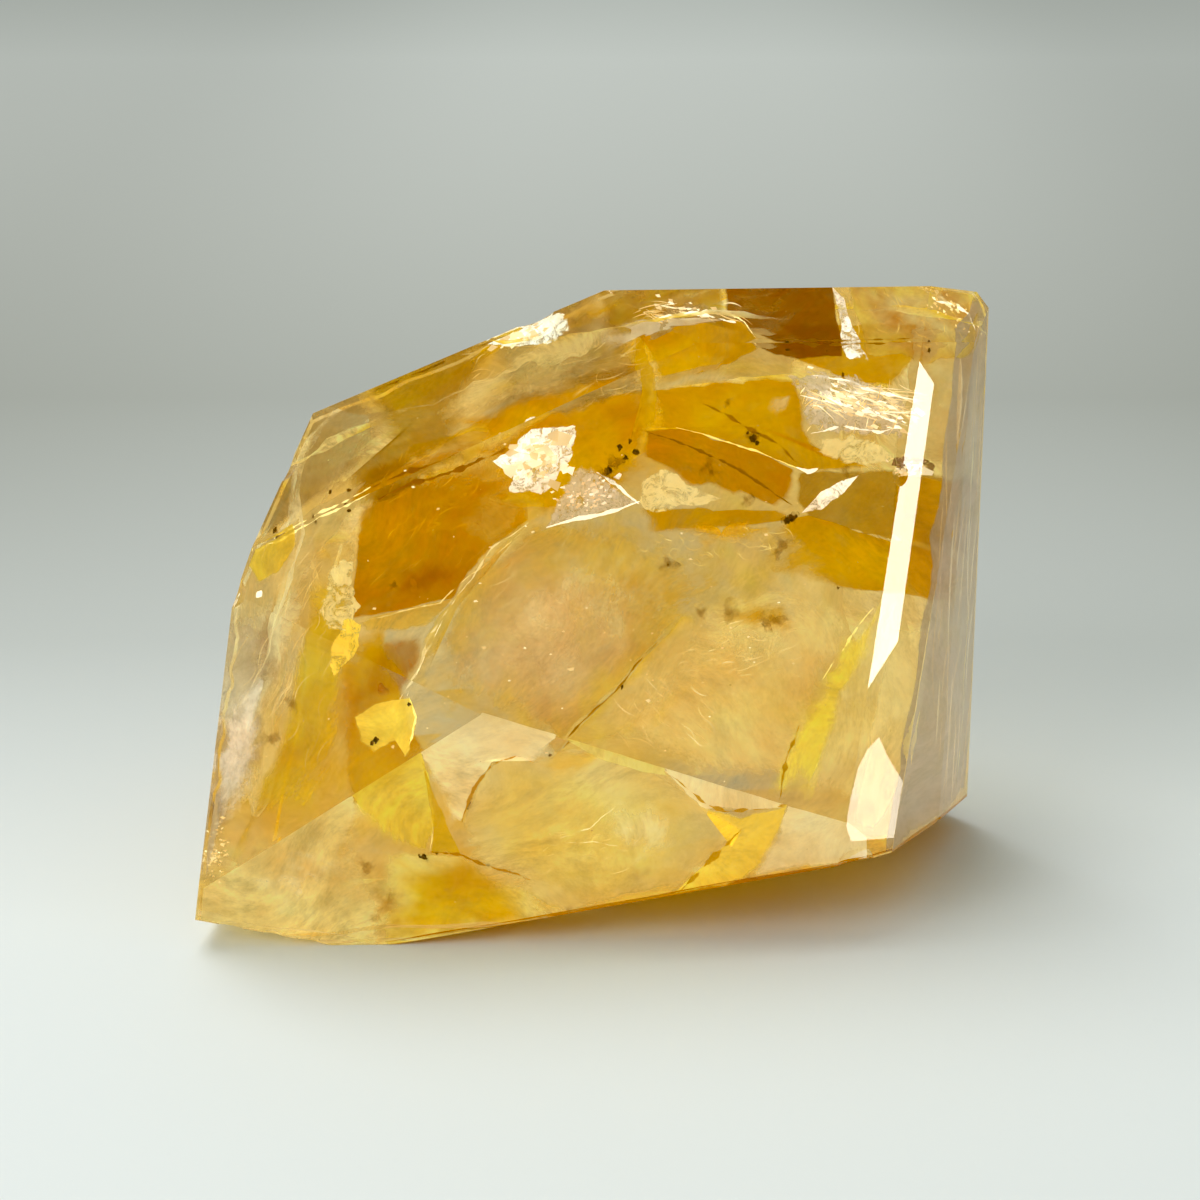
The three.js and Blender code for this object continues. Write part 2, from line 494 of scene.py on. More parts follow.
def clearQuartz():
    m = Nodes("clearQuartz")
    return m.finish(m.add("BsdfPrincipled", {"Base Color": polish["tint"], "Roughness": polish["roughness"],
                                             "IOR": quartzIor, "Transmission Weight": 1.0}))


# Pairs are the noise values between which something rises. wideTo is what the wide noise
# multiplies the streaks' light by, and passPower how much less the film tints light than it
# gives back.
film = {"detail": 5.0, "rough": 0.7, "fray": 1.1, "edge": (0.12, 0.85), "thinning": (0.3, 0.62),
        "wideScale": 0.35, "wide": (0.35, 0.65), "wideTo": (0.35, 1.6), "lit": (0.25, 0.75),
        "passPower": 0.55}


# A thin coloured film: it tints what is behind it, scatters the rest both ways, and thins out
# in streaks towards its edge. Its painted glow, an emission, stands for light scattered between its grains.
def veilFilm(name, scatter, grain, paintedGlow):
    m = Nodes(name)
    tone = m.add("Attribute", attribute_name="tone")
    where = m.add("Attribute", attribute_name="grain").outputs["Vector"]
    streak = m.add("TexNoise", {"Vector": where, "Scale": 1.0, "Detail": film["detail"],
                                "Roughness": film["rough"]}).outputs["Fac"]
    mask = m.span(m.frayed(m.share("cover"), streak, film["fray"]), *film["edge"])
    mask = m.math("MULTIPLY", mask, m.span(streak, *film["thinning"], 1 - grain, 1.0))
    mask = m.math("MULTIPLY", mask, tone.outputs["Alpha"], clamp=True)
    wide = m.add("TexNoise", {"Vector": where, "Scale": film["wideScale"], "Detail": 1.0}).outputs["Fac"]
    silk = m.math("MULTIPLY", m.share("silk"), m.span(wide, *film["wide"], *film["wideTo"]))
    light = m.math("MULTIPLY", m.span(streak, *film["lit"], -grain, grain), silk)
    light = m.scale(tone.outputs["Color"], m.math("ADD", light, 1.0))
    colour = m.add("VectorMath", {0: light, 1: [brightest] * 3}, operation="MINIMUM").outputs[0]
    passed = m.add("Gamma", {"Color": colour, "Gamma": film["passPower"]}).outputs[0]
    lit = m.addPaintedGlow(m.bothWays(colour), colour, m.math("MULTIPLY", m.share("shine"), paintedGlow))
    return m.masked(mask, m.mix(scatter, m.add("BsdfTransparent", {"Color": passed}), lit))


rusty = {"scale": 900, "detail": 4.0, "rough": 0.7, "fray": 1.6, "edge": (0.2, 0.9)}


# Rusty lines and stains: a matt brown skin, patchy by a fine noise.
def rustFilm():
    m = Nodes("rustyFilm")
    tone = m.add("Attribute", attribute_name="tone")
    patchy = m.noise(rusty["scale"], rusty["detail"], rough=rusty["rough"]).outputs["Fac"]
    mask = m.span(m.frayed(m.share("cover"), patchy, rusty["fray"]), *rusty["edge"])
    mask = m.math("MULTIPLY", mask, tone.outputs["Alpha"], clamp=True)
    return m.masked(mask, m.bothWays(tone.outputs["Color"]))


glinting = {"metal": 0.15, "roughness": 0.25, "paintedGlow": 0.7}


# Fine slivers and flakes: pale and glossy, with a steady painted glow that stands for the light they catch.
def glintFilm():
    m = Nodes("glintingFibres")
    tone = m.add("Attribute", attribute_name="tone")
    colour = tone.outputs["Color"]
    return m.masked(tone.outputs["Alpha"], m.add("BsdfPrincipled", {
        "Base Color": colour, "Metallic": glinting["metal"], "Roughness": glinting["roughness"],
        "Emission Color": colour, "Emission Strength": glinting["paintedGlow"]}))


# Distances of the bump are metres.
crackLook = {"scale": 620, "detail": 5.0, "rough": 0.72, "distortion": 1.2, "fray": 1.4, "edge": (0.2, 0.6),
             "thinning": (0.34, 0.5), "thinnest": 0.25, "bump": 0.8, "bumpDistance": 0.0008,
             "saturation": 2.2, "rainbow": (0.5, 0.66), "mostRainbow": 0.35, "roughness": 0.16,
             "white": (0.35, 0.6), "whiteTo": (0.7, 1.08), "paintedGlow": 0.5, "frost": 0.8}


# An open crack: frosty and silvery where air lies in it, with rainbow flecks in places, and a painted glow on
# its frost.
def crackFilm():
    m, look = Nodes("openCrack"), crackLook
    tone = m.add("Attribute", attribute_name="tone")
    crumple = m.noise(look["scale"], look["detail"], look["distortion"], look["rough"])
    flake = crumple.outputs["Fac"]
    edge = m.frayed(m.share("cover"), flake, look["fray"])
    thinned = m.span(flake, *look["thinning"], look["thinnest"], 1.0)
    mask = m.math("MULTIPLY", m.span(edge, *look["edge"]), thinned)
    mask = m.math("MULTIPLY", mask, tone.outputs["Alpha"], clamp=True)
    bump = m.add("Bump", {"Height": flake, "Strength": look["bump"], "Distance": look["bumpDistance"]})
    hue = m.add("HueSaturation", {"Saturation": look["saturation"], "Color": crumple.outputs["Color"]})
    rainbow = m.span(flake, *look["rainbow"], 0.0, look["mostRainbow"])
    tinted = m.add("Mix", {0: rainbow, 6: tone.outputs["Color"], 7: hue.outputs[0]}, data_type="RGBA")
    mirror = m.add("BsdfPrincipled", {"Base Color": tinted.outputs[2], "Metallic": 1.0,
                                      "Roughness": look["roughness"], "Normal": bump.outputs[0]})
    white = m.scale(tone.outputs["Color"], m.span(flake, *look["white"], *look["whiteTo"]))
    haze = m.addPaintedGlow(m.bothWays(white), white, m.math("MULTIPLY", m.share("shine"), look["paintedGlow"]))
    return m.masked(mask, m.mix(look["frost"], mirror, haze))


iron = {"scale": 2500, "dark": (0.35, (0.09, 0.035, 0.006, 1)), "light": (0.7, (0.42, 0.19, 0.02, 1)),
        "roughness": 0.7}


def ironSpeck():
    m = Nodes("ironSpeck")
    ramp = m.add("ValToRGB", {"Fac": m.noise(iron["scale"]).outputs["Fac"]})
    for stop, key in zip(ramp.color_ramp.elements, ("dark", "light")):
        stop.position, stop.color = iron[key]
    return m.finish(m.add("BsdfPrincipled", {"Base Color": ramp.outputs[0], "Roughness": iron["roughness"]}))


# The polished skin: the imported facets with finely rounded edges.
def makeStone():
    mesh = bpy.data.meshes.new("polishedQuartz")
    solid = bmesh.new()
    solid.from_mesh(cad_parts["quartz"].data)
    bmesh.ops.remove_doubles(solid, verts=solid.verts, dist=polish["weld"])
    bmesh.ops.dissolve_limit(solid, angle_limit=math.radians(polish["flattest"]), verts=solid.verts,
                             edges=solid.edges)
    solid.to_mesh(mesh)
    solid.free()
    mesh.polygons.foreach_set("use_smooth", np.zeros(len(mesh.polygons), bool))
    stone = bpy.data.objects.new("polishedQuartz", mesh)
    scene.collection.objects.link(stone)
    rounding = stone.modifiers.new("roundedEdges", "BEVEL")
    rounding.width = polish["edge"]
    rounding.segments = polish["segments"]
    rounding.limit_method = "ANGLE"
    rounding.angle_limit = math.radians(polish["sharpest"])
    mesh.materials.append(clearQuartz())
    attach(stone, "root")
    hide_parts("quartz")


# The tones of the veils: milky ones first, then golden and brown ones.
silver = (0.97, 0.95, 0.93)
ice = (0.84, 0.89, 0.92)
snow = (0.98, 0.95, 0.85)
frost = (0.84, 0.80, 0.78)
mauve = (0.64, 0.56, 0.50)
slate = (0.48, 0.44, 0.45)
paleCream = (0.97, 0.88, 0.66)
cream = (0.96, 0.80, 0.46)
straw = (0.88, 0.76, 0.44)
blush = (0.76, 0.58, 0.38)
beige = (0.70, 0.55, 0.30)
dun = (0.40, 0.30, 0.17)
butter = (0.98, 0.90, 0.42)
lemon = (0.98, 0.84, 0.18)
marigold = (0.90, 0.70, 0.14)
gold = (0.95, 0.68, 0.05)
sand = (0.75, 0.55, 0.16)
saffron = (0.76, 0.54, 0.03)
honey = (0.75, 0.47, 0.005)
amber = (0.95, 0.60, 0.02)
treacle = (0.66, 0.38, 0.004)
rust = (0.58, 0.28, 0.002)
ochre = (0.45, 0.27, 0.03)
chestnut = (0.45, 0.18, 0.008)
umber = (0.26, 0.09, 0.002)
bark = (0.16, 0.05, 0.01)

# An outline point is x, y in the photo and how softly the edge fades there. depth is mm behind
# the facet that the veil is seen through, slope is mm of depth for 100 px right and down. lean
# is a second tone and how fast the veil turns to it over 100 px right and down. shine is
# how strongly the veil's painted glow shines, silk how strongly its streaks show, streak their angle.
hazes = {
    "rearCream": {
        "tone": beige, "dense": 0.7, "depth": 34, "wave": 1.5, "waveSize": 300, "through": (600, 600),
        "outline": [(150, 980, .1), (180, 560, .1), (300, 380, .1), (600, 240, .1), (1020, 240, .1),
                    (1020, 860, .1), (700, 960, .1)]},
    "creamHeart": {
        "silk": 0.4, "streak": -52, "tone": blush, "rim": sand, "dense": 0.92, "depth": 15,
        "lean": (sand, 0.5, -0.7), "slope": (1.5, -2), "wave": 1.0, "mottle": 0.1,
        "outline": [(402, 696, .3), (418, 668, .2), (428, 640, .1), (455, 600, .1), (492, 550, .1),
                    (530, 519, .1), (590, 516, .2), (650, 528, .3), (720, 540, .4), (780, 570, .5),
                    (740, 600, .5), (664, 636, .05), (620, 686, .05), (560, 745, .05), (482, 716, .3)]},
    "lowerHeart": {
        "silk": 0.4, "streak": 34, "tone": cream, "dense": 0.9, "depth": 19, "slope": (2, 0), "wave": 0.8,
        "mottle": 0.1,
        "outline": [(640, 640, .3), (700, 590, .5), (780, 570, .4), (860, 600, .2), (840, 700, .3),
                    (800, 790, .2), (690, 775, .2), (575, 742, .3)]},
    "heartWisps": {
        "silk": 0.4, "tone": paleCream, "dense": 0.5, "depth": 9, "slope": (3, -3), "wave": 1.2,
        "waveSize": 60,
        "outline": [(450, 690, .9), (500, 560, .8), (600, 520, .8), (700, 560, .9), (660, 640, .9),
                    (560, 720, .9)]},
    "heartGlow": {
        "shine": 1.2, "silk": 0.4, "tone": blush, "dense": 0.75, "depth": 8, "wave": 0.8, "mottle": 0.12,
        "streak": -52, "blur": 1.0,
        "outline": [(470, 690, 1.0), (480, 620, 1.0), (530, 570, .9), (600, 575, .9), (640, 610, 1.0),
                    (610, 670, 1.0), (540, 720, 1.0)]},
    "heartFringe": {
        "tone": amber, "dense": 0.8, "depth": 8, "wave": 0.8, "ragged": 5, "streak": 8, "waveSize": 40,
        "outline": [(656, 530, .6), (690, 520, .3), (740, 522, .2), (786, 526, .5), (760, 545, .8),
                    (700, 552, .9)]},
    "heartFeather": {
        "tone": straw, "dense": 0.8, "depth": 9, "wave": 0.6, "ragged": 4, "streak": -20, "waveSize": 40,
        "outline": [(690, 640, .8), (740, 622, .5), (800, 628, .6), (790, 660, .7), (740, 680, .8),
                    (700, 670, .9)]},
    "leftFrost": {
        "shine": 1.3, "silk": 1.2, "tone": frost, "depth": 1.6, "blur": 1.0, "wave": 0.7, "ragged": 5,
        "streak": -66, "waveSize": 40,
        "outline": [(232, 690, .5), (262, 680, .7), (268, 740, .8), (250, 800, .9), (218, 840, .7),
                    (216, 770, .4)]},
    "leftMauve": {
        "tone": chestnut, "dense": 0.6, "depth": 2.2, "ragged": 3, "streak": -66,
        "outline": [(262, 650, .8), (290, 640, .7), (284, 700, .8), (262, 720, .9)]},
    "cornerGrey": {
        "tone": mauve, "dense": 0.8, "depth": 1.5, "wave": 0.3, "streak": -80,
        "outline": [(214, 780, .1), (226, 790, .7), (216, 860, .7), (200, 900, .2)]},
    "footBloom": {
        "tone": snow, "dense": 0.8, "depth": 1.2, "wave": 0.2, "ragged": 4, "streak": -30,
        "outline": [(250, 880, .9), (300, 850, .8), (350, 850, .9), (350, 900, .9), (290, 920, .9)]},
    "footAmber": {
        "tone": rust, "dense": 0.6, "depth": 1.0, "wave": 0.2, "ragged": 3, "streak": -30,
        "outline": [(366, 870, .9), (400, 880, .8), (405, 925, .8), (370, 935, .8)]},
    "lobePale": {
        "tone": paleCream, "dense": 0.8, "depth": 1.8, "wave": 0.3, "ragged": 3, "streak": -20,
        "outline": [(590, 800, 1.0), (650, 800, .9), (700, 815, .8), (690, 850, .9), (630, 865, 1.0),
                    (590, 840, 1.0)]},
    "shoulderFrost": {
        "silk": 1.2, "tone": beige, "dense": 0.8, "depth": 5, "wave": 0.7, "ragged": 6, "streak": -28,
        "waveSize": 40,
        "outline": [(440, 400, .9), (500, 372, .7), (560, 350, .6), (610, 352, .7), (590, 388, .8),
                    (520, 398, .8), (470, 420, .9)]},
    "crownBeige": {
        "tone": frost, "dense": 0.85, "depth": 3, "wave": 0.4, "ragged": 3, "streak": 4,
        "outline": [(600, 330, .4), (640, 318, .3), (700, 316, .2), (728, 318, .1), (690, 326, .2),
                    (640, 336, .2), (610, 350, .5)]},
    "leftCloud": {
        "silk": 1.2, "streak": -66, "tone": mauve, "rim": bark, "dense": 0.85, "depth": 3.5,
        "slope": (3, 0), "wave": 0.8, "mottle": 0.1,
        "outline": [(228, 600, .2), (262, 590, .4), (280, 640, .5), (268, 720, .5), (262, 770, .5),
                    (232, 820, .5), (206, 850, .2), (204, 780, .1), (214, 680, .1)]},
    "tipStreak": {
        "streak": -58, "tone": beige, "dense": 0.85, "depth": 2.5, "slope": (2, 1), "wave": 0.4,
        "outline": [(254, 549, .05), (300, 522, .05), (371, 486, .05), (358, 510, .3), (330, 545, .4),
                    (300, 590, .4), (262, 640, .6), (226, 640, .3), (236, 596, .1)]},
    "smoky": {
        "tone": chestnut, "dense": 0.75, "depth": 12, "wave": 0.6,
        "outline": [(376, 650, .4), (421, 640, .3), (418, 672, .2), (402, 697, .2), (350, 704, .4)]},
    "creamBand": {
        "tone": sand, "dense": 0.95, "depth": 9, "slope": (1, 0), "wave": 0.3,
        "outline": [(352, 624, .2), (386, 614, .05), (422, 605, .05), (455, 598, .05), (440, 622, .3),
                    (405, 632, .3), (376, 634, .3)]},
    "wispLine": {
        "tone": sand, "dense": 0.85, "depth": 8, "slope": (2, -2), "wave": 0.3,
        "outline": [(396, 698, .4), (412, 672, .3), (420, 645, .3), (446, 606, .3), (480, 560, .3),
                    (520, 524, .3), (529, 522, .3), (488, 566, .5), (458, 606, .4), (432, 650, .4),
                    (424, 680, .4)]},
    "footCream": {
        "silk": 1.2, "streak": -30, "tone": straw, "dense": 0.95, "depth": 1.6, "slope": (0.4, 0),
        "wave": 0.3, "mottle": 0.12,
        "outline": [(196, 893, 0), (270, 847, 0), (352, 795.5, 0), (372, 820, .4), (385, 880, .3),
                    (378, 940, .1), (330, 955, .05), (190, 935, .05)]},
    "apexPale": {
        "streak": 24, "shine": 1.3, "tone": paleCream, "dense": 0.95, "depth": 1.4, "wave": 0.2,
        "outline": [(482, 714, 0), (556, 736.6, 0), (545, 756, .2), (534, 761, .05), (520, 755, .05),
                    (492, 762, .05), (478, 782, .05), (461, 821, .05), (449, 829, .2), (432, 790, .2),
                    (421, 752.2, 0)]},
    "peachWedge": {
        "shine": 1.4, "tone": paleCream, "dense": 0.9, "depth": 1.3, "wave": 0.2,
        "outline": [(664, 769.7, 0), (711, 784, 0), (786, 807, 0), (740, 812, .1), (706, 808, .05),
                    (690, 798, .05)]},
    "footRight": {
        "streak": -10, "shine": 1.3, "tone": paleCream, "dense": 0.93, "depth": 1.5, "wave": 0.3,
        "outline": [(788, 807.6, 0), (846, 825, 0), (868, 841, 0), (872, 860, .1), (762, 880, .3),
                    (745, 880, .2), (770, 840, .2)]},
    "shoulderGrey": {
        "streak": -30, "tone": dun, "dense": 0.85, "depth": 6, "wave": 0.7, "slope": (0, 2),
        "outline": [(312, 412, .05), (360, 390, .2), (400, 400, .4), (390, 460, .5), (330, 492, .3),
                    (262, 540, .1), (275, 490, .05)]},
    "shoulderBeige": {
        "silk": 1.2, "streak": -22, "tone": dun, "dense": 0.8, "depth": 7, "wave": 0.9, "slope": (0, 2),
        "mottle": 0.12,
        "outline": [(470, 400, .5), (500, 340, .3), (590, 300, .2), (640, 300, .3), (650, 378, .2),
                    (600, 388, .2), (530, 406, .3), (468, 432, .3)]},
    "shoulderGold": {
        "streak": -30, "tone": ochre, "dense": 0.9, "depth": 6.5, "wave": 0.7, "slope": (0, 2),
        "mottle": 0.12,
        "outline": [(360, 388, .3), (420, 366, .1), (470, 345, .1), (505, 338, .3), (480, 400, .5),
                    (466, 447, .3), (420, 462, .2), (372, 487, .05), (330, 494, .3), (385, 450, .5)]},
    "paleWedge": {
        "streak": -12, "tone": beige, "dense": 0.85, "depth": 4, "wave": 0.4,
        "outline": [(714, 362, .3), (754, 336, .1), (768, 336, .1), (796, 358, .1), (800, 374, .1),
                    (768, 376, .1), (655, 390, .1), (652, 378, .2)]},
    "slabSpot": {
        "tone": snow, "dense": 0.6, "depth": 8, "wave": 0.2,
        "outline": [(760, 410, .6), (772, 396, .6), (792, 394, .4), (790, 412, .6), (776, 420, .6)]},
    "rightHaze": {
        "streak": -70, "tone": straw, "dense": 0.8, "depth": 8, "slope": (2, 0),
        "outline": [(838, 690, .3), (862, 640, .2), (884, 590, .1), (880, 720, .1), (850, 800, .1),
                    (800, 800, .3), (826, 740, .3)]},
    "bevelCream": {
        "streak": -76, "shine": 1.2, "tone": straw, "dense": 0.95, "depth": 4, "wave": 0.3,
        "outline": [(893, 625, .05), (928, 630, .05), (920, 700, .1), (905, 790, .1), (870, 840, .1),
                    (850, 830, .1), (876, 700, .2), (886, 655, .1)]},
    # A milky haze inside the right side facets, its slate grey partly painted shade of that side.
    "sideMilkPaintedShade": {
        "streak": 96, "tone": slate, "dense": 0.9, "depth": 2.5, "through": (950, 620),
        "outline": [(975, 290, .05), (995, 290, .05), (990, 640, .05), (970, 800, .05), (890, 860, .05),
                    (930, 620, .05)]},
}
# A facet is named by a rough bearing from the front and a tilt, in degrees.
facetHazes = {
    "rearMilk": {"facet": (-170, 5), "depth": 5, "tone": cream, "other": gold},
    "rearLeftMilk": {"facet": (-130, 10), "depth": 4, "tone": cream, "other": amber},
    "rearRightMilk": {"facet": (130, 10), "depth": 3.5, "tone": paleCream, "other": cream},
    "rearFootMilk": {"facet": (-170, -50), "depth": 3, "tone": cream, "other": gold, "cover": 0.8},
    "topMilk": {"facet": (-175, 65), "depth": 3.5, "tone": paleCream, "other": gold, "cover": 0.45},
    "rearShoulderMilk": {"facet": (-145, 50), "depth": 3.5, "tone": cream, "other": amber, "cover": 0.5},
    "baseMilk": {"facet": (0, -90), "depth": 1.6, "tone": cream, "other": (0.9, 0.66, 0.2), "cover": 1.1,
                 "wave": 0.3, "dense": 0.97},
    "toeMilk": {"facet": (-40, -70), "depth": 1.0, "tone": paleCream, "other": cream, "cover": 1.0,
                "wave": 0.3},
    # A dark rust sheet just under the undercut facet: painted shade that darkens the gap and the floor
    # beneath the stone's lifted edge.
    "undercutPaintedShade": {"facet": (35, -70), "depth": 0.35, "tone": rust, "other": chestnut, "cover": 1.2,
                     "wave": 0.05, "dense": 1.0},
    "leftEndMilk": {"facet": (-100, 20), "depth": 2.5, "tone": paleCream, "other": (0.85, 0.68, 0.36)},
}
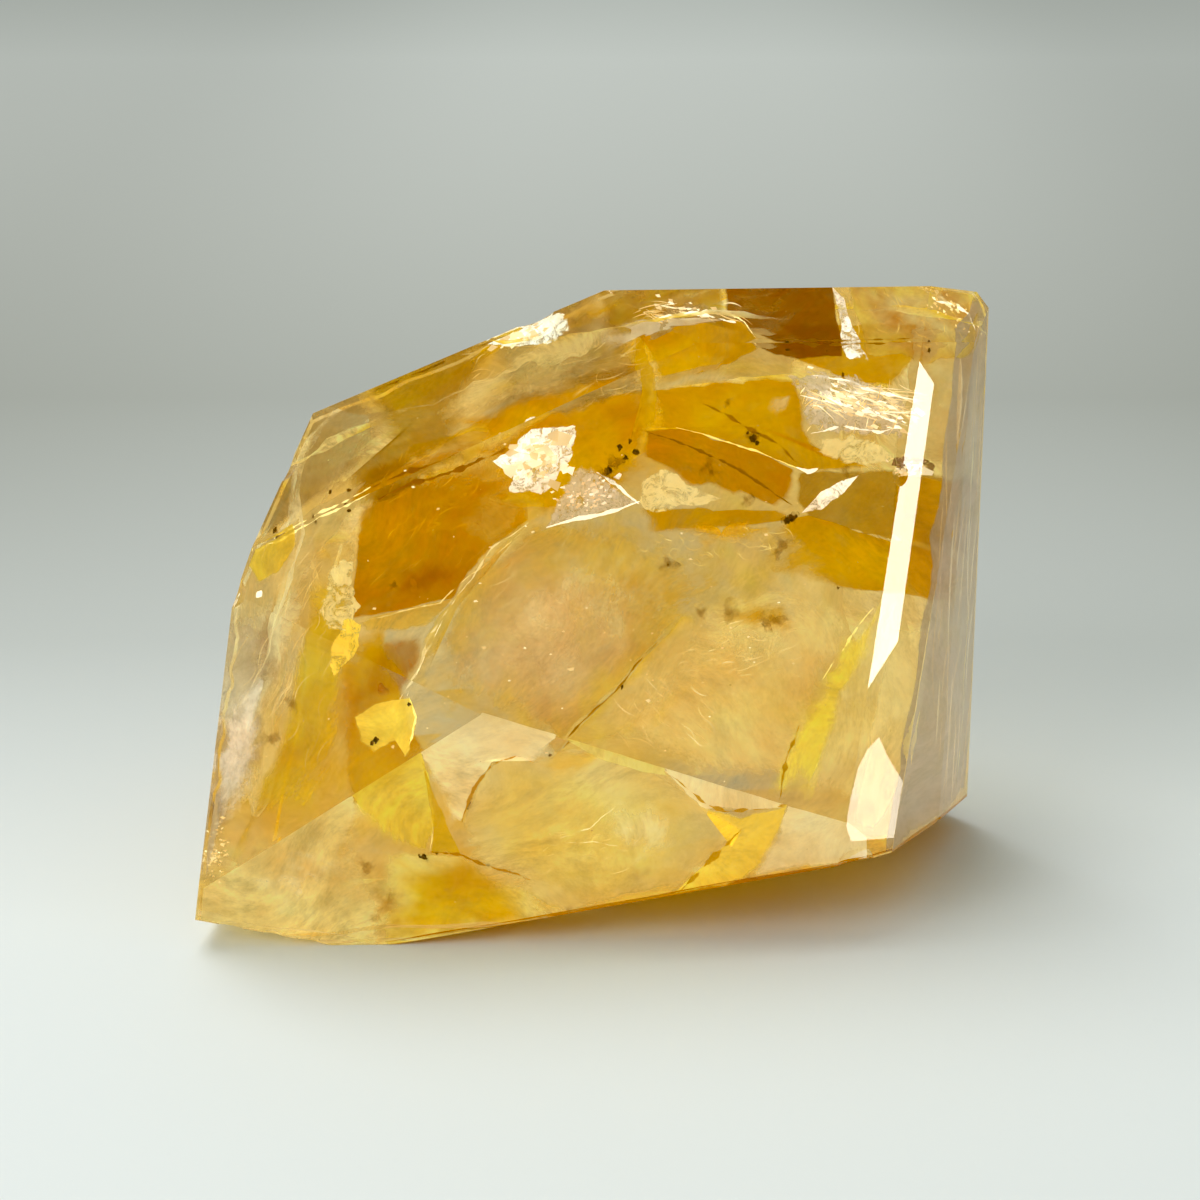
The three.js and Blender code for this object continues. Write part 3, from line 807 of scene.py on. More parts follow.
goldVeils = {
    "hollowDeep": {
        "tone": chestnut, "dense": 0.7, "depth": 8.5, "wave": 0.6, "ragged": 3, "streak": -42,
        "outline": [(380, 600, .7), (400, 560, .9), (440, 545, .9), (462, 570, .7), (430, 600, .6)]},
    "hollowBright": {
        "tone": honey, "dense": 0.7, "depth": 8, "wave": 0.6, "ragged": 3, "streak": -42,
        "outline": [(400, 510, .9), (440, 476, .9), (490, 465, .7), (500, 500, .8), (460, 540, .9),
                    (410, 550, .9)]},
    "hollowTan": {
        "tone": sand, "dense": 0.75, "depth": 7, "wave": 0.6, "ragged": 3, "streak": -30,
        "outline": [(470, 500, .7), (500, 490, .5), (524, 505, .3), (516, 530, .3), (490, 545, .5),
                    (462, 530, .8)]},
    "orangeHollow": {
        "streak": -42, "tone": rust, "depth": 10, "slope": (2, 1), "wave": 0.7, "mottle": 0.1,
        "outline": [(371, 487, .1), (420, 462, .3), (465, 441, .4), (510, 445, .4), (522, 480, .4),
                    (530, 519, .1), (492, 549, .05), (468, 578, .05), (455, 598, .03), (422, 606, .03),
                    (387, 614, .03), (350, 621, .03), (355, 560, .03), (358, 510, .1)]},
    "orangeRidge": {
        "shine": 1.5, "streak": -30, "tone": treacle, "dense": 0.97, "depth": 13, "slope": (-1, 2),
        "wave": 0.8, "mottle": 0.12,
        "outline": [(455, 450, .3), (521, 425, .1), (560, 405, .1), (620, 391, .05), (654, 386, .05),
                    (660, 430, .2), (640, 490, .3), (600, 515, .3), (540, 525, .3), (505, 500, .4)]},
    "goldenSlab": {
        "streak": 12, "tone": honey, "rim": treacle, "dense": 0.97, "depth": 9, "slope": (2, 2),
        "wave": 0.4,
        "outline": [(652, 389, .05), (720, 382, .05), (768, 376, .1), (800, 376, .1), (803, 420, .1),
                    (812, 441, .1), (830, 460, .2), (872, 468, .1), (808, 472, .03), (751, 450, .03),
                    (725, 441, .03), (676, 428, .05), (648, 428, .2)]},
    "brownLedge": {
        "streak": 20, "tone": rust, "depth": 17, "slope": (1, 0), "wave": 0.4,
        "outline": [(644, 430, .05), (676, 426, .05), (751, 448, .05), (796, 470, .05), (794, 500, .1),
                    (778, 508, .1), (741, 494, .2), (687, 484, .2), (640, 455, .1)]},
    "underBand": {
        "tone": treacle, "dense": 0.95, "depth": 13, "wave": 0.3,
        "outline": [(640, 508, .1), (690, 508, .1), (783, 510, .1), (792, 520, .05), (754, 526, .2),
                    (700, 532, .4), (640, 534, .3)]},
    "rightOrange": {
        "streak": 14, "tone": honey, "rim": treacle, "depth": 11, "slope": (1, 2),
        "outline": [(790, 517, .03), (808, 515, .03), (860, 530, .03), (950, 562, .03), (945, 606, .05),
                    (884, 592, .05), (834, 589, .1), (773, 573, .5), (760, 545, .5)]},
    "rightBrown": {
        "tone": ochre, "dense": 0.93, "depth": 19, "slope": (1, 0), "wave": 0.4,
        "outline": [(796, 472, .05), (850, 468, .1), (900, 468, .1), (955, 480, .1), (950, 565, .05),
                    (888, 540, .05), (808, 517, .05), (794, 500, .05)]},
    "goldStreak": {
        "shine": 1.4, "streak": -58, "tone": lemon, "dense": 0.9, "depth": 9, "slope": (-3, 3),
        "wave": 0.4,
        "outline": [(886, 598, .3), (878, 640, .5), (852, 684, .6), (834, 730, .6), (812, 800, .4),
                    (764, 802, .4), (774, 760, .8), (795, 712, .9), (824, 656, .8), (858, 616, .6)]},
    "yellowSail": {
        "silk": 0.4, "tone": straw, "rim": marigold, "dense": 0.8, "depth": 12, "slope": (4, -2),
        "outline": [(560, 746, .03), (620, 686, .03), (664, 636, .03), (690, 606, .2), (740, 592, .6),
                    (740, 640, .9), (700, 690, .9), (650, 730, .6), (600, 750, .2)]},
    "brownStain": {
        "tone": treacle, "dense": 0.8, "depth": 11, "wave": 0.3,
        "outline": [(715, 615, .7), (740, 598, .7), (790, 604, .6), (796, 630, .7), (750, 636, .8)]},
    "leftYellow": {
        "streak": -66, "tone": saffron, "dense": 0.92, "depth": 7, "slope": (4, 1), "wave": 0.7,
        "mottle": 0.14,
        "outline": [(350, 560, .2), (345, 620, .2), (350, 700, .4), (352, 790, .4), (260, 850, .4),
                    (225, 870, .3), (236, 820, .6), (280, 740, .6), (296, 640, .5), (310, 570, .4)]},
    "leftAmber": {
        "streak": -66, "tone": treacle, "dense": 0.95, "depth": 11, "slope": (2, 0), "mottle": 0.12,
        "outline": [(336, 640, .3), (376, 634, .3), (404, 690, .2), (424, 750, .1), (400, 790, .2),
                    (350, 805, .2), (322, 730, .5), (320, 680, .5)]},
    "outerYellow": {
        "tone": marigold, "depth": 1.2, "blur": 0.5, "slope": (2, 1), "wave": 0.2,
        "outline": [(254, 549, .03), (294, 527, .05), (298, 545, .3), (280, 572, .3), (258, 584, .4),
                    (248, 565, .2)]},
    "yellowWindow": {
        "shine": 2.4, "tone": lemon, "rim": marigold, "depth": 3, "slope": (2, 1), "wave": 0.2,
        "ragged": 1.2,
        "outline": [(354, 717, .05), (376, 703, .03), (410, 697, .03), (416, 717, .03), (414, 734, .05),
                    (406, 757, .05), (396, 742, .05), (374, 752, .1), (358, 742, .1)]},
    "amberLobe": {
        "streak": -20, "tone": butter, "rim": straw, "dense": 0.93, "depth": 2.4, "slope": (0.3, 0.2),
        "wave": 0.3, "mottle": 0.1,
        "outline": [(461, 821, .03), (478, 781, .03), (492, 762, .03), (520, 755, .03), (534, 761, .03),
                    (560, 750, .1), (640, 762, .05), (676, 785, .03), (700, 800, .03), (742, 829, .03),
                    (712, 860, .05), (680, 892, .1), (560, 915, .1), (500, 885, .3), (462, 858, .2)]},
    "lobeRim": {
        "tone": amber, "dense": 0.5, "depth": 2.0, "wave": 0.2,
        "outline": [(530, 765, .4), (556, 748, .2), (600, 752, .2), (594, 778, .7), (556, 785, .7)]},
    "amberFold": {
        "tone": lemon, "dense": 0.95, "depth": 2.2, "slope": (-0.4, 0.4), "wave": 0.2,
        "outline": [(352, 795.5, 0), (421, 752.2, 0), (430, 780, .03), (433, 829, .03), (430, 857, .1),
                    (390, 850, .3), (368, 825, .3)]},
    "foldSliver": {
        "tone": saffron, "dense": 0.95, "depth": 1.8, "wave": 0.2, "ragged": 1,
        "outline": [(421, 757, .1), (432, 788, .1), (449, 829, .1), (462, 856, .1), (448, 858, .2),
                    (431, 856, .1), (434, 829, .05)]},
    "amberFoot": {
        "streak": 14, "tone": saffron, "rim": butter, "dense": 0.95, "depth": 2.6, "slope": (0.4, 0),
        "wave": 0.3, "mottle": 0.12,
        "outline": [(382, 850, .2), (430, 852, .05), (462, 857, .05), (490, 866, .2), (540, 888, .4),
                    (560, 925, .2), (400, 950, .05), (378, 945, .1), (372, 890, .4)]},
    "lowerRightFold": {
        "shine": 1.9, "tone": marigold, "dense": 0.95, "depth": 2.2, "slope": (-0.5, 0), "wave": 0.3,
        "outline": [(786, 807, 0), (776, 850, .2), (745, 882, .1), (672, 895, .1), (712, 857, .03),
                    (742, 830, .03), (700, 806, .1), (744, 815, .1)]},
    "edgeWedge": {
        "tone": butter, "dense": 0.95, "depth": 1.2, "wave": 0.2, "ragged": 1,
        "outline": [(566, 739.7, 0), (600, 750, 0), (640, 762.4, 0), (664, 769.7, 0), (668, 776, .05),
                    (640, 771, .05), (600, 760, .1)]},
    "topBrown": {
        "streak": 8, "tone": umber, "depth": 3.5, "wave": 0.2, "ragged": 1.2,
        "outline": [(724, 284, .05), (832, 283, .03), (837, 310, .03), (842, 344, .03), (821, 346, .05),
                    (776, 343, .05), (754, 332, .05), (725, 313, .05)]},
    "topGold": {
        "streak": 50, "tone": beige, "rim": sand, "dense": 0.9, "depth": 4, "mottle": 0.2, "cloudSize": 50,
        "outline": [(846, 284, .05), (980, 286, .05), (978, 343, .1), (862, 343, .05)]},
    "topLeftGold": {
        "streak": 10, "tone": ochre, "dense": 0.85, "depth": 4, "wave": 0.4, "mottle": 0.2,
        "cloudSize": 60,
        "outline": [(600, 290, .05), (640, 283, .05), (724, 284, .1), (726, 312, .1), (750, 334, .1),
                    (690, 320, .2), (640, 332, .2), (600, 330, .3)]},
    "orangeWedge": {
        "streak": -14, "tone": treacle, "dense": 0.95, "depth": 5, "wave": 0.3, "mottle": 0.12,
        "outline": [(638, 334, .05), (709, 321, .05), (730, 318, .05), (746, 326, .05), (755, 338, .05),
                    (730, 354, .1), (698, 364, .3), (656, 378, .3)]},
    "yellowString": {
        "tone": saffron, "dense": 0.85, "depth": 6, "wave": 0.3, "ragged": 2,
        "outline": [(634, 290, .3), (650, 292, .2), (646, 340, .2), (654, 388, .1), (646, 425, .2),
                    (622, 442, .3), (636, 400, .3), (634, 350, .3)]},
    "ledgeGold": {
        "tone": treacle, "dense": 0.95, "depth": 6, "wave": 0.3,
        "outline": [(778, 342, .03), (920, 340, .03), (917, 358, .1), (893, 386, .1), (858, 384, .1),
                    (821, 370, .1), (794, 360, .1)]},
    "bevelAmber": {
        "streak": 30, "tone": treacle, "dense": 0.95, "depth": 5, "wave": 0.3,
        "outline": [(905, 470, .1), (956, 480, .05), (948, 560, .05), (936, 604, .05), (893, 590, .2)]},
    "bevelBeige": {
        "streak": 20, "tone": beige, "dense": 0.85, "depth": 4, "wave": 0.4, "mottle": 0.15,
        "outline": [(922, 342, .05), (976, 342, .05), (958, 470, .1), (902, 462, .1)]},
}
cracks = {
    "starCrack": {
        "shine": 1.5, "tone": frost, "depth": 5, "slope": (3, 3), "ragged": 2.5, "waveSize": 26,
        "outline": [(496, 461, .05), (505, 455, .05), (521, 437, .05), (551, 428, .05), (576, 425, .05),
                    (579, 431, .05), (571, 455, .05), (567, 466, .05), (556, 482, .05), (546, 492, .05),
                    (508, 492, .05), (511, 482, .05), (503, 468, .05)]},
    "rainbowCrack": {
        "shine": 1.2, "tone": mauve, "dense": 0.7, "depth": 7, "slope": (-3, 4), "wave": 0.4,
        "ragged": 1.5, "waveSize": 22,
        "outline": [(546, 527, .03), (559, 495, .3), (580, 458, .3), (597, 474, .2), (640, 503, .03),
                    (600, 514, .03)]},
    "peachCrack": {
        "shine": 1.2, "tone": straw, "dense": 0.7, "depth": 7, "slope": (2, 4), "wave": 0.4, "ragged": 1.5,
        "outline": [(638, 503, .05), (642, 482, .1), (666, 468, .1), (679, 474, .1), (687, 484, .2),
                    (725, 499, .1), (698, 506, .05), (655, 512, .05), (642, 511, .05)]},
    "shatter": {
        "tone": mauve, "dense": 0.75, "depth": 3, "slope": (1, 4), "wave": 0.7, "ragged": 4,
        "waveSize": 30,
        "outline": [(778, 372, .2), (821, 369, .3), (868, 384, .3), (914, 398, .2), (908, 440, .2),
                    (848, 440, .3), (810, 431, .2), (803, 420, .2), (800, 396, .2)]},
    "creamFlake": {
        "tone": straw, "dense": 0.85, "depth": 5, "slope": (1, 3), "wave": 0.4, "ragged": 2,
        "outline": [(812, 452, .2), (820, 438, .2), (850, 434, .3), (890, 446, .2), (898, 460, .2),
                    (870, 467, .2), (840, 462, .3)]},
    "needleCrack": {
        "shine": 1.8, "tone": frost, "depth": 6, "slope": (2, -3), "wave": 0.2, "ragged": 1.0,
        "waveSize": 20,
        "outline": [(800, 514, .05), (821, 492, .05), (838, 481, .05), (859, 475, .1), (845, 492, .1),
                    (821, 511, .05)]},
    "topCrack": {
        "shine": 1.6, "tone": frost, "depth": 1.5, "slope": (-3, 2), "wave": 0.4, "ragged": 1.5,
        "waveSize": 18,
        "outline": [(831, 284, .05), (844, 297, .1), (850, 322, .1), (861, 342, .1), (872, 358, .1),
                    (848, 350, .1), (840, 334, .1), (837, 310, .1)]},
    "edgeCrack": {
        "shine": 1.4, "tone": ice, "depth": 1.5, "slope": (0, 2), "wave": 0.4, "ragged": 1.6,
        "waveSize": 22,
        "outline": [(484, 345, .1), (520, 326, .1), (554, 307, .05), (566, 316, .1), (572, 330, .2),
                    (552, 344, .1), (520, 348, .1)]},
    "leftShard": {
        "shine": 0.9, "tone": straw, "dense": 0.95, "depth": 3, "slope": (3, 0), "wave": 0.3, "ragged": 3,
        "waveSize": 24,
        "outline": [(340, 556, .1), (354, 560, .03), (352, 596, .03), (361, 606, .03), (348, 634, .05),
                    (326, 622, .2), (318, 600, .3), (332, 575, .2)]},
    "lowerShard": {
        "shine": 1.2, "tone": marigold, "dense": 0.95, "depth": 3, "slope": (3, 0), "wave": 0.3,
        "ragged": 2,
        "outline": [(342, 624, .1), (360, 628, .03), (356, 650, .03), (332, 680, .05), (330, 650, .2)]},
    "crownGlints": {
        "tone": dun, "dense": 0.65, "depth": 2.5, "slope": (0, 3), "ragged": 4, "waveSize": 26,
        "outline": [(645, 322, .4), (660, 304, .3), (700, 300, .3), (738, 320, .05), (700, 322, .2),
                    (650, 334, .2)]},
    "bevelCrack": {
        "tone": bark, "dense": 0.8, "depth": 1.5, "slope": (4, 2), "wave": 0.3, "ragged": 3,
        "outline": [(880, 462, .2), (915, 452, .1), (932, 466, .1), (934, 476, .1), (908, 472, .1)]},
}
# middle, spread, length, width and size are photo pixels, deep is how far depths vary in mm.
strands = {
    "lobeScratches": {"middle": (590, 850), "spread": (48, 26), "angle": -22, "fan": 20, "length": 22,
                      "count": 30, "tone": (0.98, 0.94, 0.62), "depth": 1.5, "width": 0.6, "dense": 0.6},
    "heartFibres": {"middle": (560, 620), "spread": (100, 80), "angle": -52, "fan": 16, "length": 50,
                    "count": 50, "tone": (0.92, 0.82, 0.54), "depth": 10, "deep": 4, "width": 0.9,
                    "dense": 0.3},
    "heartCurls": {"middle": (720, 545), "spread": (80, 18), "angle": 12, "fan": 30, "length": 20,
                   "count": 44, "tone": (0.95, 0.86, 0.46), "depth": 9, "deep": 2, "width": 1.0,
                   "bend": 0.2, "dense": 0.5},
    "creamStreaks": {"middle": (740, 650), "spread": (60, 30), "angle": -14, "fan": 14, "length": 26,
                     "count": 44, "tone": (0.97, 0.90, 0.62), "depth": 9, "deep": 3, "width": 1.3,
                     "dense": 0.5},
    "lowerStreaks": {"middle": (665, 710), "spread": (45, 36), "angle": 38, "fan": 12, "length": 30,
                     "count": 36, "tone": (0.97, 0.90, 0.68), "depth": 10, "deep": 3, "width": 1.2,
                     "dense": 0.45},
    "hollowFibres": {"middle": (440, 520), "spread": (70, 60), "angle": -48, "fan": 16, "length": 34,
                     "count": 46, "tone": (0.86, 0.54, 0.03), "depth": 7, "deep": 2, "width": 0.9,
                     "dense": 0.5},
    "leftFibres": {"middle": (285, 640), "spread": (50, 120), "angle": -64, "fan": 9, "length": 50,
                   "count": 70, "tone": (0.92, 0.82, 0.58), "depth": 3, "deep": 1.5, "width": 1.1,
                   "dense": 0.35},
    "shoulderFibres": {"middle": (550, 365), "spread": (90, 30), "angle": -26, "fan": 16, "length": 36,
                       "count": 60, "tone": (0.86, 0.76, 0.48), "depth": 5, "deep": 2, "width": 1.1,
                       "dense": 0.4},
    "shatterSlivers": {"middle": (862, 402), "spread": (50, 16), "angle": 20, "fan": 13, "length": 46,
                       "count": 46, "tone": (0.98, 0.96, 0.88), "depth": 2.2, "deep": 0.8, "width": 1.7,
                       "bend": 0.04},
    "shatterCross": {"middle": (850, 408), "spread": (48, 22), "angle": -58, "fan": 18, "length": 20,
                     "count": 34, "tone": (0.97, 0.90, 0.66), "depth": 2.6, "deep": 0.8, "width": 1.2,
                     "bend": 0.05},
    "crownSlivers": {"middle": (692, 312), "spread": (46, 8), "angle": 6, "fan": 12, "length": 34,
                     "count": 24, "tone": (0.98, 0.95, 0.84), "depth": 1.8, "deep": 0.6, "width": 1.5,
                     "bend": 0.06},
    "topRightFibres": {"middle": (910, 314), "spread": (60, 24), "angle": 62, "fan": 24, "length": 22,
                       "count": 30, "tone": (0.90, 0.74, 0.30), "depth": 2.5, "deep": 1, "width": 1.2,
                       "dense": 0.5},
    "sideStreaks": {"middle": (960, 560), "spread": (24, 220), "angle": 94, "fan": 2, "length": 150,
                    "count": 36, "tone": (0.86, 0.80, 0.68), "depth": 1.5, "deep": 0.6, "width": 1.8,
                    "dense": 0.35, "bend": 0.02, "through": (950, 620)},
}
flakes = {
    "shatterFlakes": {"middle": (858, 402), "spread": (52, 18), "angle": 20, "size": 2.4, "long": 2.4,
                      "count": 90, "tone": silver, "depth": 2.4, "deep": 0.8},
    "starFlakes": {"middle": (538, 460), "spread": (30, 24), "size": 5.0, "long": 1.3, "count": 70,
                   "tone": silver, "depth": 4.0, "deep": 0.5},
    "rainbowFlakes": {"middle": (590, 494), "spread": (32, 14), "angle": -18, "size": 1.7, "count": 80,
                      "tone": (0.95, 0.88, 0.90), "depth": 6, "deep": 0.6},
    "crownFlakes": {"middle": (690, 310), "spread": (48, 9), "angle": 8, "size": 1.7, "long": 2.2,
                    "count": 34, "tone": silver, "depth": 1.8, "deep": 0.6},
    "cornerFlakes": {"middle": (948, 312), "spread": (32, 14), "angle": 50, "size": 1.8, "count": 36,
                     "tone": (0.98, 0.93, 0.7), "depth": 1.6, "deep": 0.6},
    "edgeFlakes": {"middle": (530, 328), "spread": (38, 11), "angle": -24, "size": 2.6, "long": 2.0,
                   "count": 60, "tone": silver, "depth": 1.4, "deep": 0.5},
    "footGrains": {"middle": (213, 855), "spread": (14, 38), "size": 1.4, "count": 60,
                   "tone": (0.98, 0.93, 0.72), "depth": 1.4, "deep": 0.8},
    "bevelFlakes": {"middle": (908, 468), "spread": (18, 10), "size": 2.4, "count": 34, "tone": silver,
                    "depth": 1.2, "deep": 0.5},
    "strayGlints": {"middle": (600, 640), "spread": (300, 180), "size": 1.0, "count": 90,
                    "tone": (0.98, 0.95, 0.86), "depth": 7, "deep": 4},
}
# path holds photo points, width is pixels.
rustLines = {
    "sailLine": {"path": [(556, 750), (590, 715), (620, 686), (645, 655), (664, 636)], "width": 1.1,
                 "tone": (0.60, 0.34, 0.02), "depth": 8},
    "lobeLine": {"path": [(462, 822), (478, 782), (492, 763), (520, 756), (534, 762)], "width": 1.8,
                 "tone": (0.76, 0.42, 0.03), "depth": 1.3},
    "footLine": {"path": [(430, 852), (462, 856), (490, 865), (530, 880)], "width": 2.0,
                 "tone": (0.76, 0.42, 0.03), "depth": 1.3},
    "wedgeLine": {"path": [(668, 775), (700, 800), (724, 812), (786, 806)], "width": 1.5,
                  "tone": (0.84, 0.52, 0.03), "depth": 1.2},
    "wedgeFall": {"path": [(742, 829), (715, 856), (680, 890)], "width": 2.4, "tone": (0.88, 0.58, 0.04),
                  "depth": 1.2},
    "shoulderLine": {"path": [(316, 414), (400, 379), (470, 349), (540, 319)], "width": 2.2,
                     "tone": (0.50, 0.26, 0.02), "depth": 0.7},
    "hollowTop": {"path": [(372, 486), (420, 468), (465, 452), (500, 436)], "width": 2.4,
                  "tone": (0.56, 0.26, 0.01), "depth": 5},
    "crownLedge": {"path": [(757, 342), (830, 345), (920, 342)], "width": 1.6, "tone": (0.60, 0.32, 0.02),
                   "depth": 1.2},
    "bandLine": {"path": [(779, 800), (786, 760), (800, 725)], "width": 1.8, "tone": (0.84, 0.54, 0.03),
                 "depth": 4},
    "ledgeLine": {"path": [(700, 402), (740, 422), (780, 446), (806, 470)], "width": 1.6,
                  "tone": (0.62, 0.36, 0.01), "depth": 6},
    "underLine": {"path": [(640, 430), (690, 446), (740, 470), (792, 505)], "width": 1.6,
                  "tone": (0.48, 0.26, 0.01), "depth": 12},
}
brightLines = {
    "rainbowEdge": {"path": [(546, 527), (590, 516), (640, 503)], "width": 2.8, "broken": 0.25,
                    "tone": silver, "depth": 5},
    "rainbowSide": {"path": [(640, 503), (615, 484), (597, 472)], "width": 1.6, "tone": silver,
                    "depth": 5},
    "slabEdge": {"path": [(676, 428), (725, 441), (751, 450), (808, 472)], "width": 0.9,
                 "tone": (0.96, 0.80, 0.30), "depth": 7},
    "flakeEnd": {"path": [(796, 468), (808, 472), (818, 469)], "width": 3.4, "broken": 0.2, "tone": silver,
                 "depth": 6},
    "bandRim": {"path": [(874, 608), (857, 627), (838, 655), (821, 680)], "width": 1.3,
                "tone": (0.97, 0.88, 0.40), "depth": 7, "dense": 0.7},
    "hollowRim": {"path": [(360, 621), (398, 612), (440, 602), (470, 575), (520, 535)], "width": 0.8,
                  "tone": (0.94, 0.80, 0.44), "depth": 8, "dense": 0.6},
    "wispA": {"path": [(402, 696), (418, 668), (428, 640), (455, 600), (490, 552), (528, 522)],
              "width": 1.4, "tone": (0.95, 0.84, 0.58), "depth": 7, "dense": 0.5},
    "wispB": {"path": [(410, 690), (424, 655), (447, 612)], "width": 0.8, "tone": (0.97, 0.90, 0.70),
              "depth": 6.5},
    "tipEdge": {"path": [(254, 549), (300, 523), (340, 504), (371, 487)], "width": 1.3,
                "tone": (0.98, 0.90, 0.50), "depth": 1.6},
    "crownStreak": {"path": [(654, 320), (690, 313), (736, 322)], "width": 2.2, "tone": silver,
                    "depth": 1.6},
    "crownCurl": {"path": [(726, 312), (745, 322), (756, 338)], "width": 1.0, "tone": (0.98, 0.90, 0.6),
                  "depth": 1.8},
    "windowEdge": {"path": [(410, 697), (416, 717), (413, 736), (406, 757)], "width": 1.2,
                   "tone": (0.99, 0.90, 0.35), "depth": 2.4},
    "foldEdge": {"path": [(421, 760), (431, 795), (433, 829), (430, 852)], "width": 0.9,
                 "tone": (0.98, 0.88, 0.45), "depth": 4, "dense": 0.6},
    "lobeScratchA": {"path": [(560, 838), (590, 828), (616, 806)], "width": 0.5, "dense": 0.6,
                     "tone": (0.99, 0.95, 0.7), "depth": 1.4},
    "lobeScratchB": {"path": [(565, 842), (592, 842), (618, 846)], "width": 0.5, "dense": 0.6,
                     "tone": (0.99, 0.95, 0.7), "depth": 1.4},
    "shatterRidge": {"path": [(800, 396), (836, 404), (872, 412), (908, 426)], "width": 1.6,
                     "tone": silver, "depth": 1.9},
    "shatterTop": {"path": [(812, 374), (846, 381), (880, 392), (908, 398)], "width": 1.8, "tone": silver,
                   "depth": 1.9},
    "shatterFoot": {"path": [(811, 434), (846, 426), (880, 432), (900, 428)], "width": 1.6, "tone": silver,
                    "depth": 2.0},
    "cornerArc": {"path": [(936, 300), (952, 303), (968, 314), (975, 330)], "width": 1.6, "tone": silver,
                  "depth": 1.0},
    # The chips' short silver strokes are painted highlights on the chipped edges.
    "chipA": {"path": [(236, 590), (235, 603)], "width": 4.0, "tone": silver, "depth": 0.6},
    "chipB": {"path": [(257, 592), (262, 596)], "width": 4.5, "tone": silver, "depth": 0.6},
    "chipC": {"path": [(286, 466), (290, 470)], "width": 4.0, "tone": silver, "depth": 0.6},
}
# x, y in the photo and a relative size.
specks = [
    (753, 438, 7), (791, 518, 7), (668, 565, 2), (838, 588, 3), (376, 740, 7), (467, 803, 5), (423, 857, 5),
    (437, 853, 3), (488, 865, 3), (278, 536, 4), (330, 492, 3), (349, 490, 3), (346, 504, 2), (313, 516, 3),
    (929, 342, 3), (843, 375, 3), (787, 342, 3), (749, 317, 3), (622, 687, 3), (550, 755, 2), (450, 747, 2),
    (620, 447, 6), (609, 471, 6), (626, 458, 4), (636, 452, 4), (630, 441, 3), (960, 633, 3), (409, 704, 3),
    (757, 443, 4), (748, 433, 3), (787, 521, 4), (796, 516, 3), (427, 860, 3), (419, 855, 2), (372, 743, 4),
]
smudges = [
    (707, 467, 8), (712, 472, 5), (783, 545, 9), (777, 552, 6), (775, 620, 9), (766, 624, 8), (393, 805, 6),
    (410, 796, 4), (638, 876, 9), (646, 872, 5), (631, 880, 5), (728, 404, 5), (393, 586, 5), (615, 462, 12),
    (606, 474, 9), (668, 565, 7), (730, 612, 10), (470, 806, 6), (376, 740, 8), (753, 438, 8), (791, 518, 8),
    (366, 865, 9), (392, 898, 7), (368, 915, 10), (270, 740, 9), (291, 703, 8), (320, 872, 10), (700, 612, 8),
    (404, 938, 5), (570, 908, 4), (746, 500, 7), (845, 470, 6), (610, 478, 7),
]


# x, y in the photo and a size in units of 0.055 mm.
speckLook = {"seed": 77, "unit": 0.055 * mm, "rows": 9, "columns": 12, "pole": 0.02, "lumps": 0.45,
             "lumpSize": 1.1, "stretch": (0.5, 1.2), "depths": (2.0, 3.0), "places": 9, "lumpSeeds": 9973}


# Little lumpy balls: radius times one plus waves, in polar coordinates, at set pixels.
def speckLumps(spots):
    look = speckLook
    rng = np.random.default_rng(look["seed"])
    rows, columns = look["rows"], look["columns"]
    rises = np.linspace(look["pole"], math.pi - look["pole"], rows)
    turns = np.linspace(0, 2 * math.pi, columns, endpoint=False)
    rise, turn = np.meshgrid(rises, turns, indexing="ij")
    ball = np.stack([np.sin(rise) * np.cos(turn), np.sin(rise) * np.sin(turn), np.cos(rise)], -1)
    places = []
    for x, y, size in np.array(spots, float):
        moved = ball + rng.uniform(-look["places"], look["places"], 3)
        bumps = waves(moved, look["lumpSize"], int(x * y) % look["lumpSeeds"], 3)
        lump = ball * (1 + look["lumps"] * bumps)[..., None] * size * look["unit"]
        lump = lump * rng.uniform(*look["stretch"], 3)
        depth = np.array(rng.uniform(*look["depths"]))
        places.append(lump + insideStone(np.array([x, y]), depth, (x, y)))
    faces = gridFaces(rows, columns, True) + (np.arange(len(spots)) * rows * columns)[:, None, None]
    places = np.array(places)
    return {"places": places, "faces": faces.reshape(-1, 4), "cover": np.ones(places.size // 3),
            "tone": np.ones((places.size // 3, 4))}


stainLook = {"seed": 88, "rings": 5, "spokes": 14, "middle": 0.02, "bumps": 0.4, "bumpSize": 1.4,
             "spread": 1.2, "depth": 3.3, "tone": (0.42, 0.20, 0.015, 0.6), "cover": 0.9, "fall": 0.7}


# Round brown stains under the specks: discs whose cover falls away towards the rim.
def stainSheets(spots):
    look = stainLook
    turns = np.linspace(0, 2 * math.pi, look["spokes"], endpoint=False)
    shrink, turn = np.meshgrid(np.linspace(1, look["middle"], look["rings"]), turns, indexing="ij")
    disc = np.stack([np.cos(turn), np.sin(turn)], -1) * shrink[..., None]
    sheets = []
    for x, y, size in spots:
        bumpy = disc * (1 + look["bumps"] * waves(disc, look["bumpSize"], look["seed"] + x))[..., None]
        pixels = np.array([x, y]) + bumpy * size * look["spread"]
        sheets.append({"places": insideStone(pixels, np.full(shrink.shape, look["depth"]), (x, y)),
                       "faces": gridFaces(look["rings"], look["spokes"], True),
                       "cover": look["cover"] - look["fall"] * shrink,
                       "tone": np.ones((shrink.size, 1)) * look["tone"]})
    return sheets


seedStep = 17


# One sheet for each row of a table. Every row has a seed of its own.
def sheetsOf(maker, table, seed, **options):
    return [maker(row, seed + seedStep * index, **options) for index, row in enumerate(table.values())]


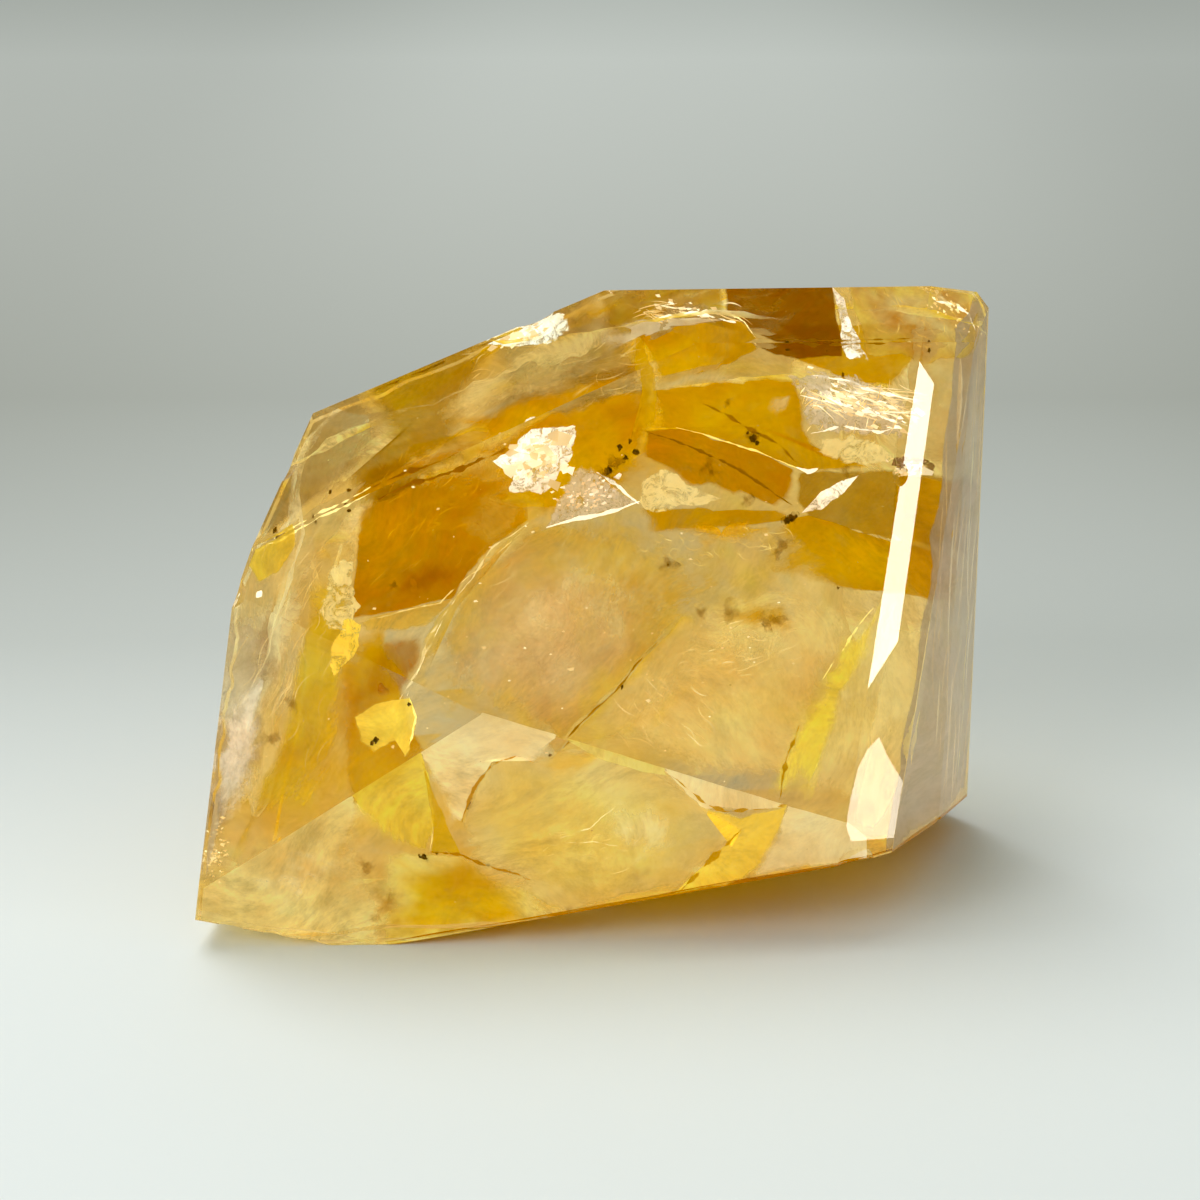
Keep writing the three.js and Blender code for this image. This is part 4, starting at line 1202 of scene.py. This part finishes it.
makeCamera()
makeStone()
milkFilm = veilFilm("milkyHaze", scatter=0.8, grain=0.2, paintedGlow=0.25)
goldFilm = veilFilm("goldenFilm", scatter=0.66, grain=0.18, paintedGlow=0.25)
openCrack = crackFilm()
glint = glintFilm()
makeSheets("milkyHaze", sheetsOf(veilSheet, hazes, 300), milkFilm)
makeSheets("facetHaze", sheetsOf(facetHaze, facetHazes, 700), milkFilm)
makeSheets("goldenVeils", sheetsOf(veilSheet, goldVeils, 500), goldFilm)
makeSheets("brightCracks", sheetsOf(veilSheet, cracks, 900, rings=16), openCrack)
makeSheets("fineStrands", sheetsOf(strandSheets, strands, 1300), glint)
makeSheets("brightLines", sheetsOf(lineSheet, brightLines, 1500), glint)
rustSheets = sheetsOf(lineSheet, rustLines, 1600) + stainSheets(smudges)
makeSheets("rustLines", rustSheets, rustFilm())
makeSheets("silverFlakes", sheetsOf(flakeSheets, flakes, 1700), glint, False)
makeSheets("ironSpecks", [speckLumps(specks)], ironSpeck())


# The floor's half width, its gap below the stone, the nearest and farthest ends of the ramp of
# painted shade tones, and the painted shade to the sides behind the stone, all in metres. The ramp runs over
# Y.
paper = {"half": 3.0, "gap": 0.00006, "nearest": -0.02, "farthest": 0.62,
         "middle": 0.02, "aside": (0.03, 0.15), "behind": (-0.02, 0.15), "deepestPaintedShade": 0.15,
         "tones": [(0.0, (0.76, 0.79, 0.765)), (0.134, (0.553, 0.573, 0.547)), (0.33, (0.46, 0.47, 0.44)),
                   (1.0, (0.76, 0.775, 0.735))]}


# A flat sheet of pale paper, with painted shade that makes it a little darker behind the stone and off to its
# sides.
def makeStage():
    half, low = paper["half"], -paper["gap"]
    corners = [(-half, -half, low), (half, -half, low), (half, half, low), (-half, half, low)]
    mesh = bpy.data.meshes.new("paperFloor")
    mesh.from_pydata(corners, [], [(0, 1, 2, 3)])
    floor = bpy.data.objects.new("paperFloor", mesh)
    scene.collection.objects.link(floor)
    m = Nodes("paperWithPaintedShade")
    place = m.add("SeparateXYZ", {0: m.add("TexCoord").outputs["Object"]})
    aside = m.math("ABSOLUTE", m.math("SUBTRACT", place.outputs["X"], paper["middle"]))
    behind = m.span(place.outputs["Y"], *paper["behind"], 0.0, paper["deepestPaintedShade"])
    paintedShade = m.math("MULTIPLY", m.span(aside, *paper["aside"]), behind)
    along = m.add("MapRange", {"Value": place.outputs["Y"], "From Min": paper["nearest"],
                               "From Max": paper["farthest"]}).outputs["Result"]
    shade = m.add("ValToRGB", {"Fac": along})
    stops = shade.color_ramp.elements
    for position, _ in paper["tones"][1:-1]:
        stops.new(position)
    for stop, (position, tone) in zip(stops, paper["tones"]):
        stop.position = position
        stop.color = (*tone, 1)
    # Painted shade: the ramp over Y and the dimming to the sides darken the paper's colour.
    colour = m.scale(shade.outputs[0], m.math("SUBTRACT", 1.0, paintedShade))
    mesh.materials.append(m.finish(m.add("BsdfDiffuse", {"Color": colour})))


# reach is how many metres off the bevel the card stands. Both cards show in the facet that the
# camera sees at onBevel.
onBevel = (900, 600)
glareColour = (1, 0.96, 0.86, 1)
glareCards = {
    "upperGlare": {"corners": [(898, 356), (919, 360), (934, 384), (898, 641), (867, 690), (840, 700)],
                   "strength": 13.0, "reach": 0.05},
    "lowerGlare": {"corners": [(879, 737), (888, 757), (903, 782), (898, 812), (894, 838), (838, 842),
                               (852, 793), (858, 768), (867, 750)],
                   "strength": 7.5, "reach": 0.035},
}


# A small bright card that the bevel mirrors: the rays through its photo corners are thrown back
# by the bevel's plane and followed as far as the card stands.
def makeGlareCard(name, card):
    *normal, offset = entryPlane(onBevel)
    normal = np.array(normal)
    eye, way = photoRays(np.array(card["corners"], float))
    hit = eye + way * ((offset - normal @ eye) / (way @ normal))[:, None]
    thrown = way - 2 * (way @ normal)[:, None] * normal
    corners = hit + thrown * card["reach"]
    mesh = bpy.data.meshes.new(name)
    mesh.from_pydata(corners.tolist(), [], [list(range(len(corners)))])
    m = Nodes(name)
    mesh.materials.append(m.finish(m.add("Emission", {"Color": glareColour, "Strength": card["strength"]})))
    piece = bpy.data.objects.new(name, mesh)
    scene.collection.objects.link(piece)
    piece.visible_camera = False
    piece.visible_diffuse = False
    piece.visible_transmission = False
    piece.visible_shadow = False


# Places and sizes are metres, power is watts.
lights = {"windowAbove": {"place": (-0.22, 0.12, 0.75), "size": (0.5, 0.5), "power": 2.6},
          "leftWindow": {"place": (-0.52, -0.55, 0.42), "size": (0.5, 0.4), "power": 2.0}}
lightAim = (0, 0, 0.02)
room = {"colour": (0.88, 0.94, 0.96, 1), "strength": 0.46, "blackLevel": (0.010, 0.012, 0.032)}


def makeLight(name, lamp):
    data = bpy.data.lights.new(name, "AREA")
    data.shape = "RECTANGLE"
    data.size, data.size_y = lamp["size"]
    data.energy = lamp["power"]
    light = bpy.data.objects.new(name, data)
    scene.collection.objects.link(light)
    light.location = lamp["place"]
    aim = Vector(lightAim) - Vector(lamp["place"])
    light.rotation_euler = aim.to_track_quat("-Z", "Y").to_euler()


makeStage()
for name, card in glareCards.items():
    makeGlareCard(name, card)
for name, lamp in lights.items():
    makeLight(name, lamp)
world = bpy.data.worlds.new("softRoom")
world.use_nodes = True
world.node_tree.nodes["Background"].inputs["Color"].default_value = room["colour"]
world.node_tree.nodes["Background"].inputs["Strength"].default_value = room["strength"]
scene.world = world
scene.view_settings.view_transform = "Standard"
scene.view_settings.look = "Medium High Contrast"
scene.view_settings.use_curve_mapping = True
scene.view_settings.curve_mapping.black_level = room["blackLevel"]
scene.view_settings.curve_mapping.update()
scene.cycles.max_bounces = 9
scene.cycles.transmission_bounces = 8
scene.cycles.glossy_bounces = 3
scene.cycles.diffuse_bounces = 2
scene.cycles.transparent_max_bounces = 20
scene.cycles.sample_clamp_indirect = 8
scene.cycles.use_adaptive_sampling = True
scene.cycles.adaptive_threshold = 0.05
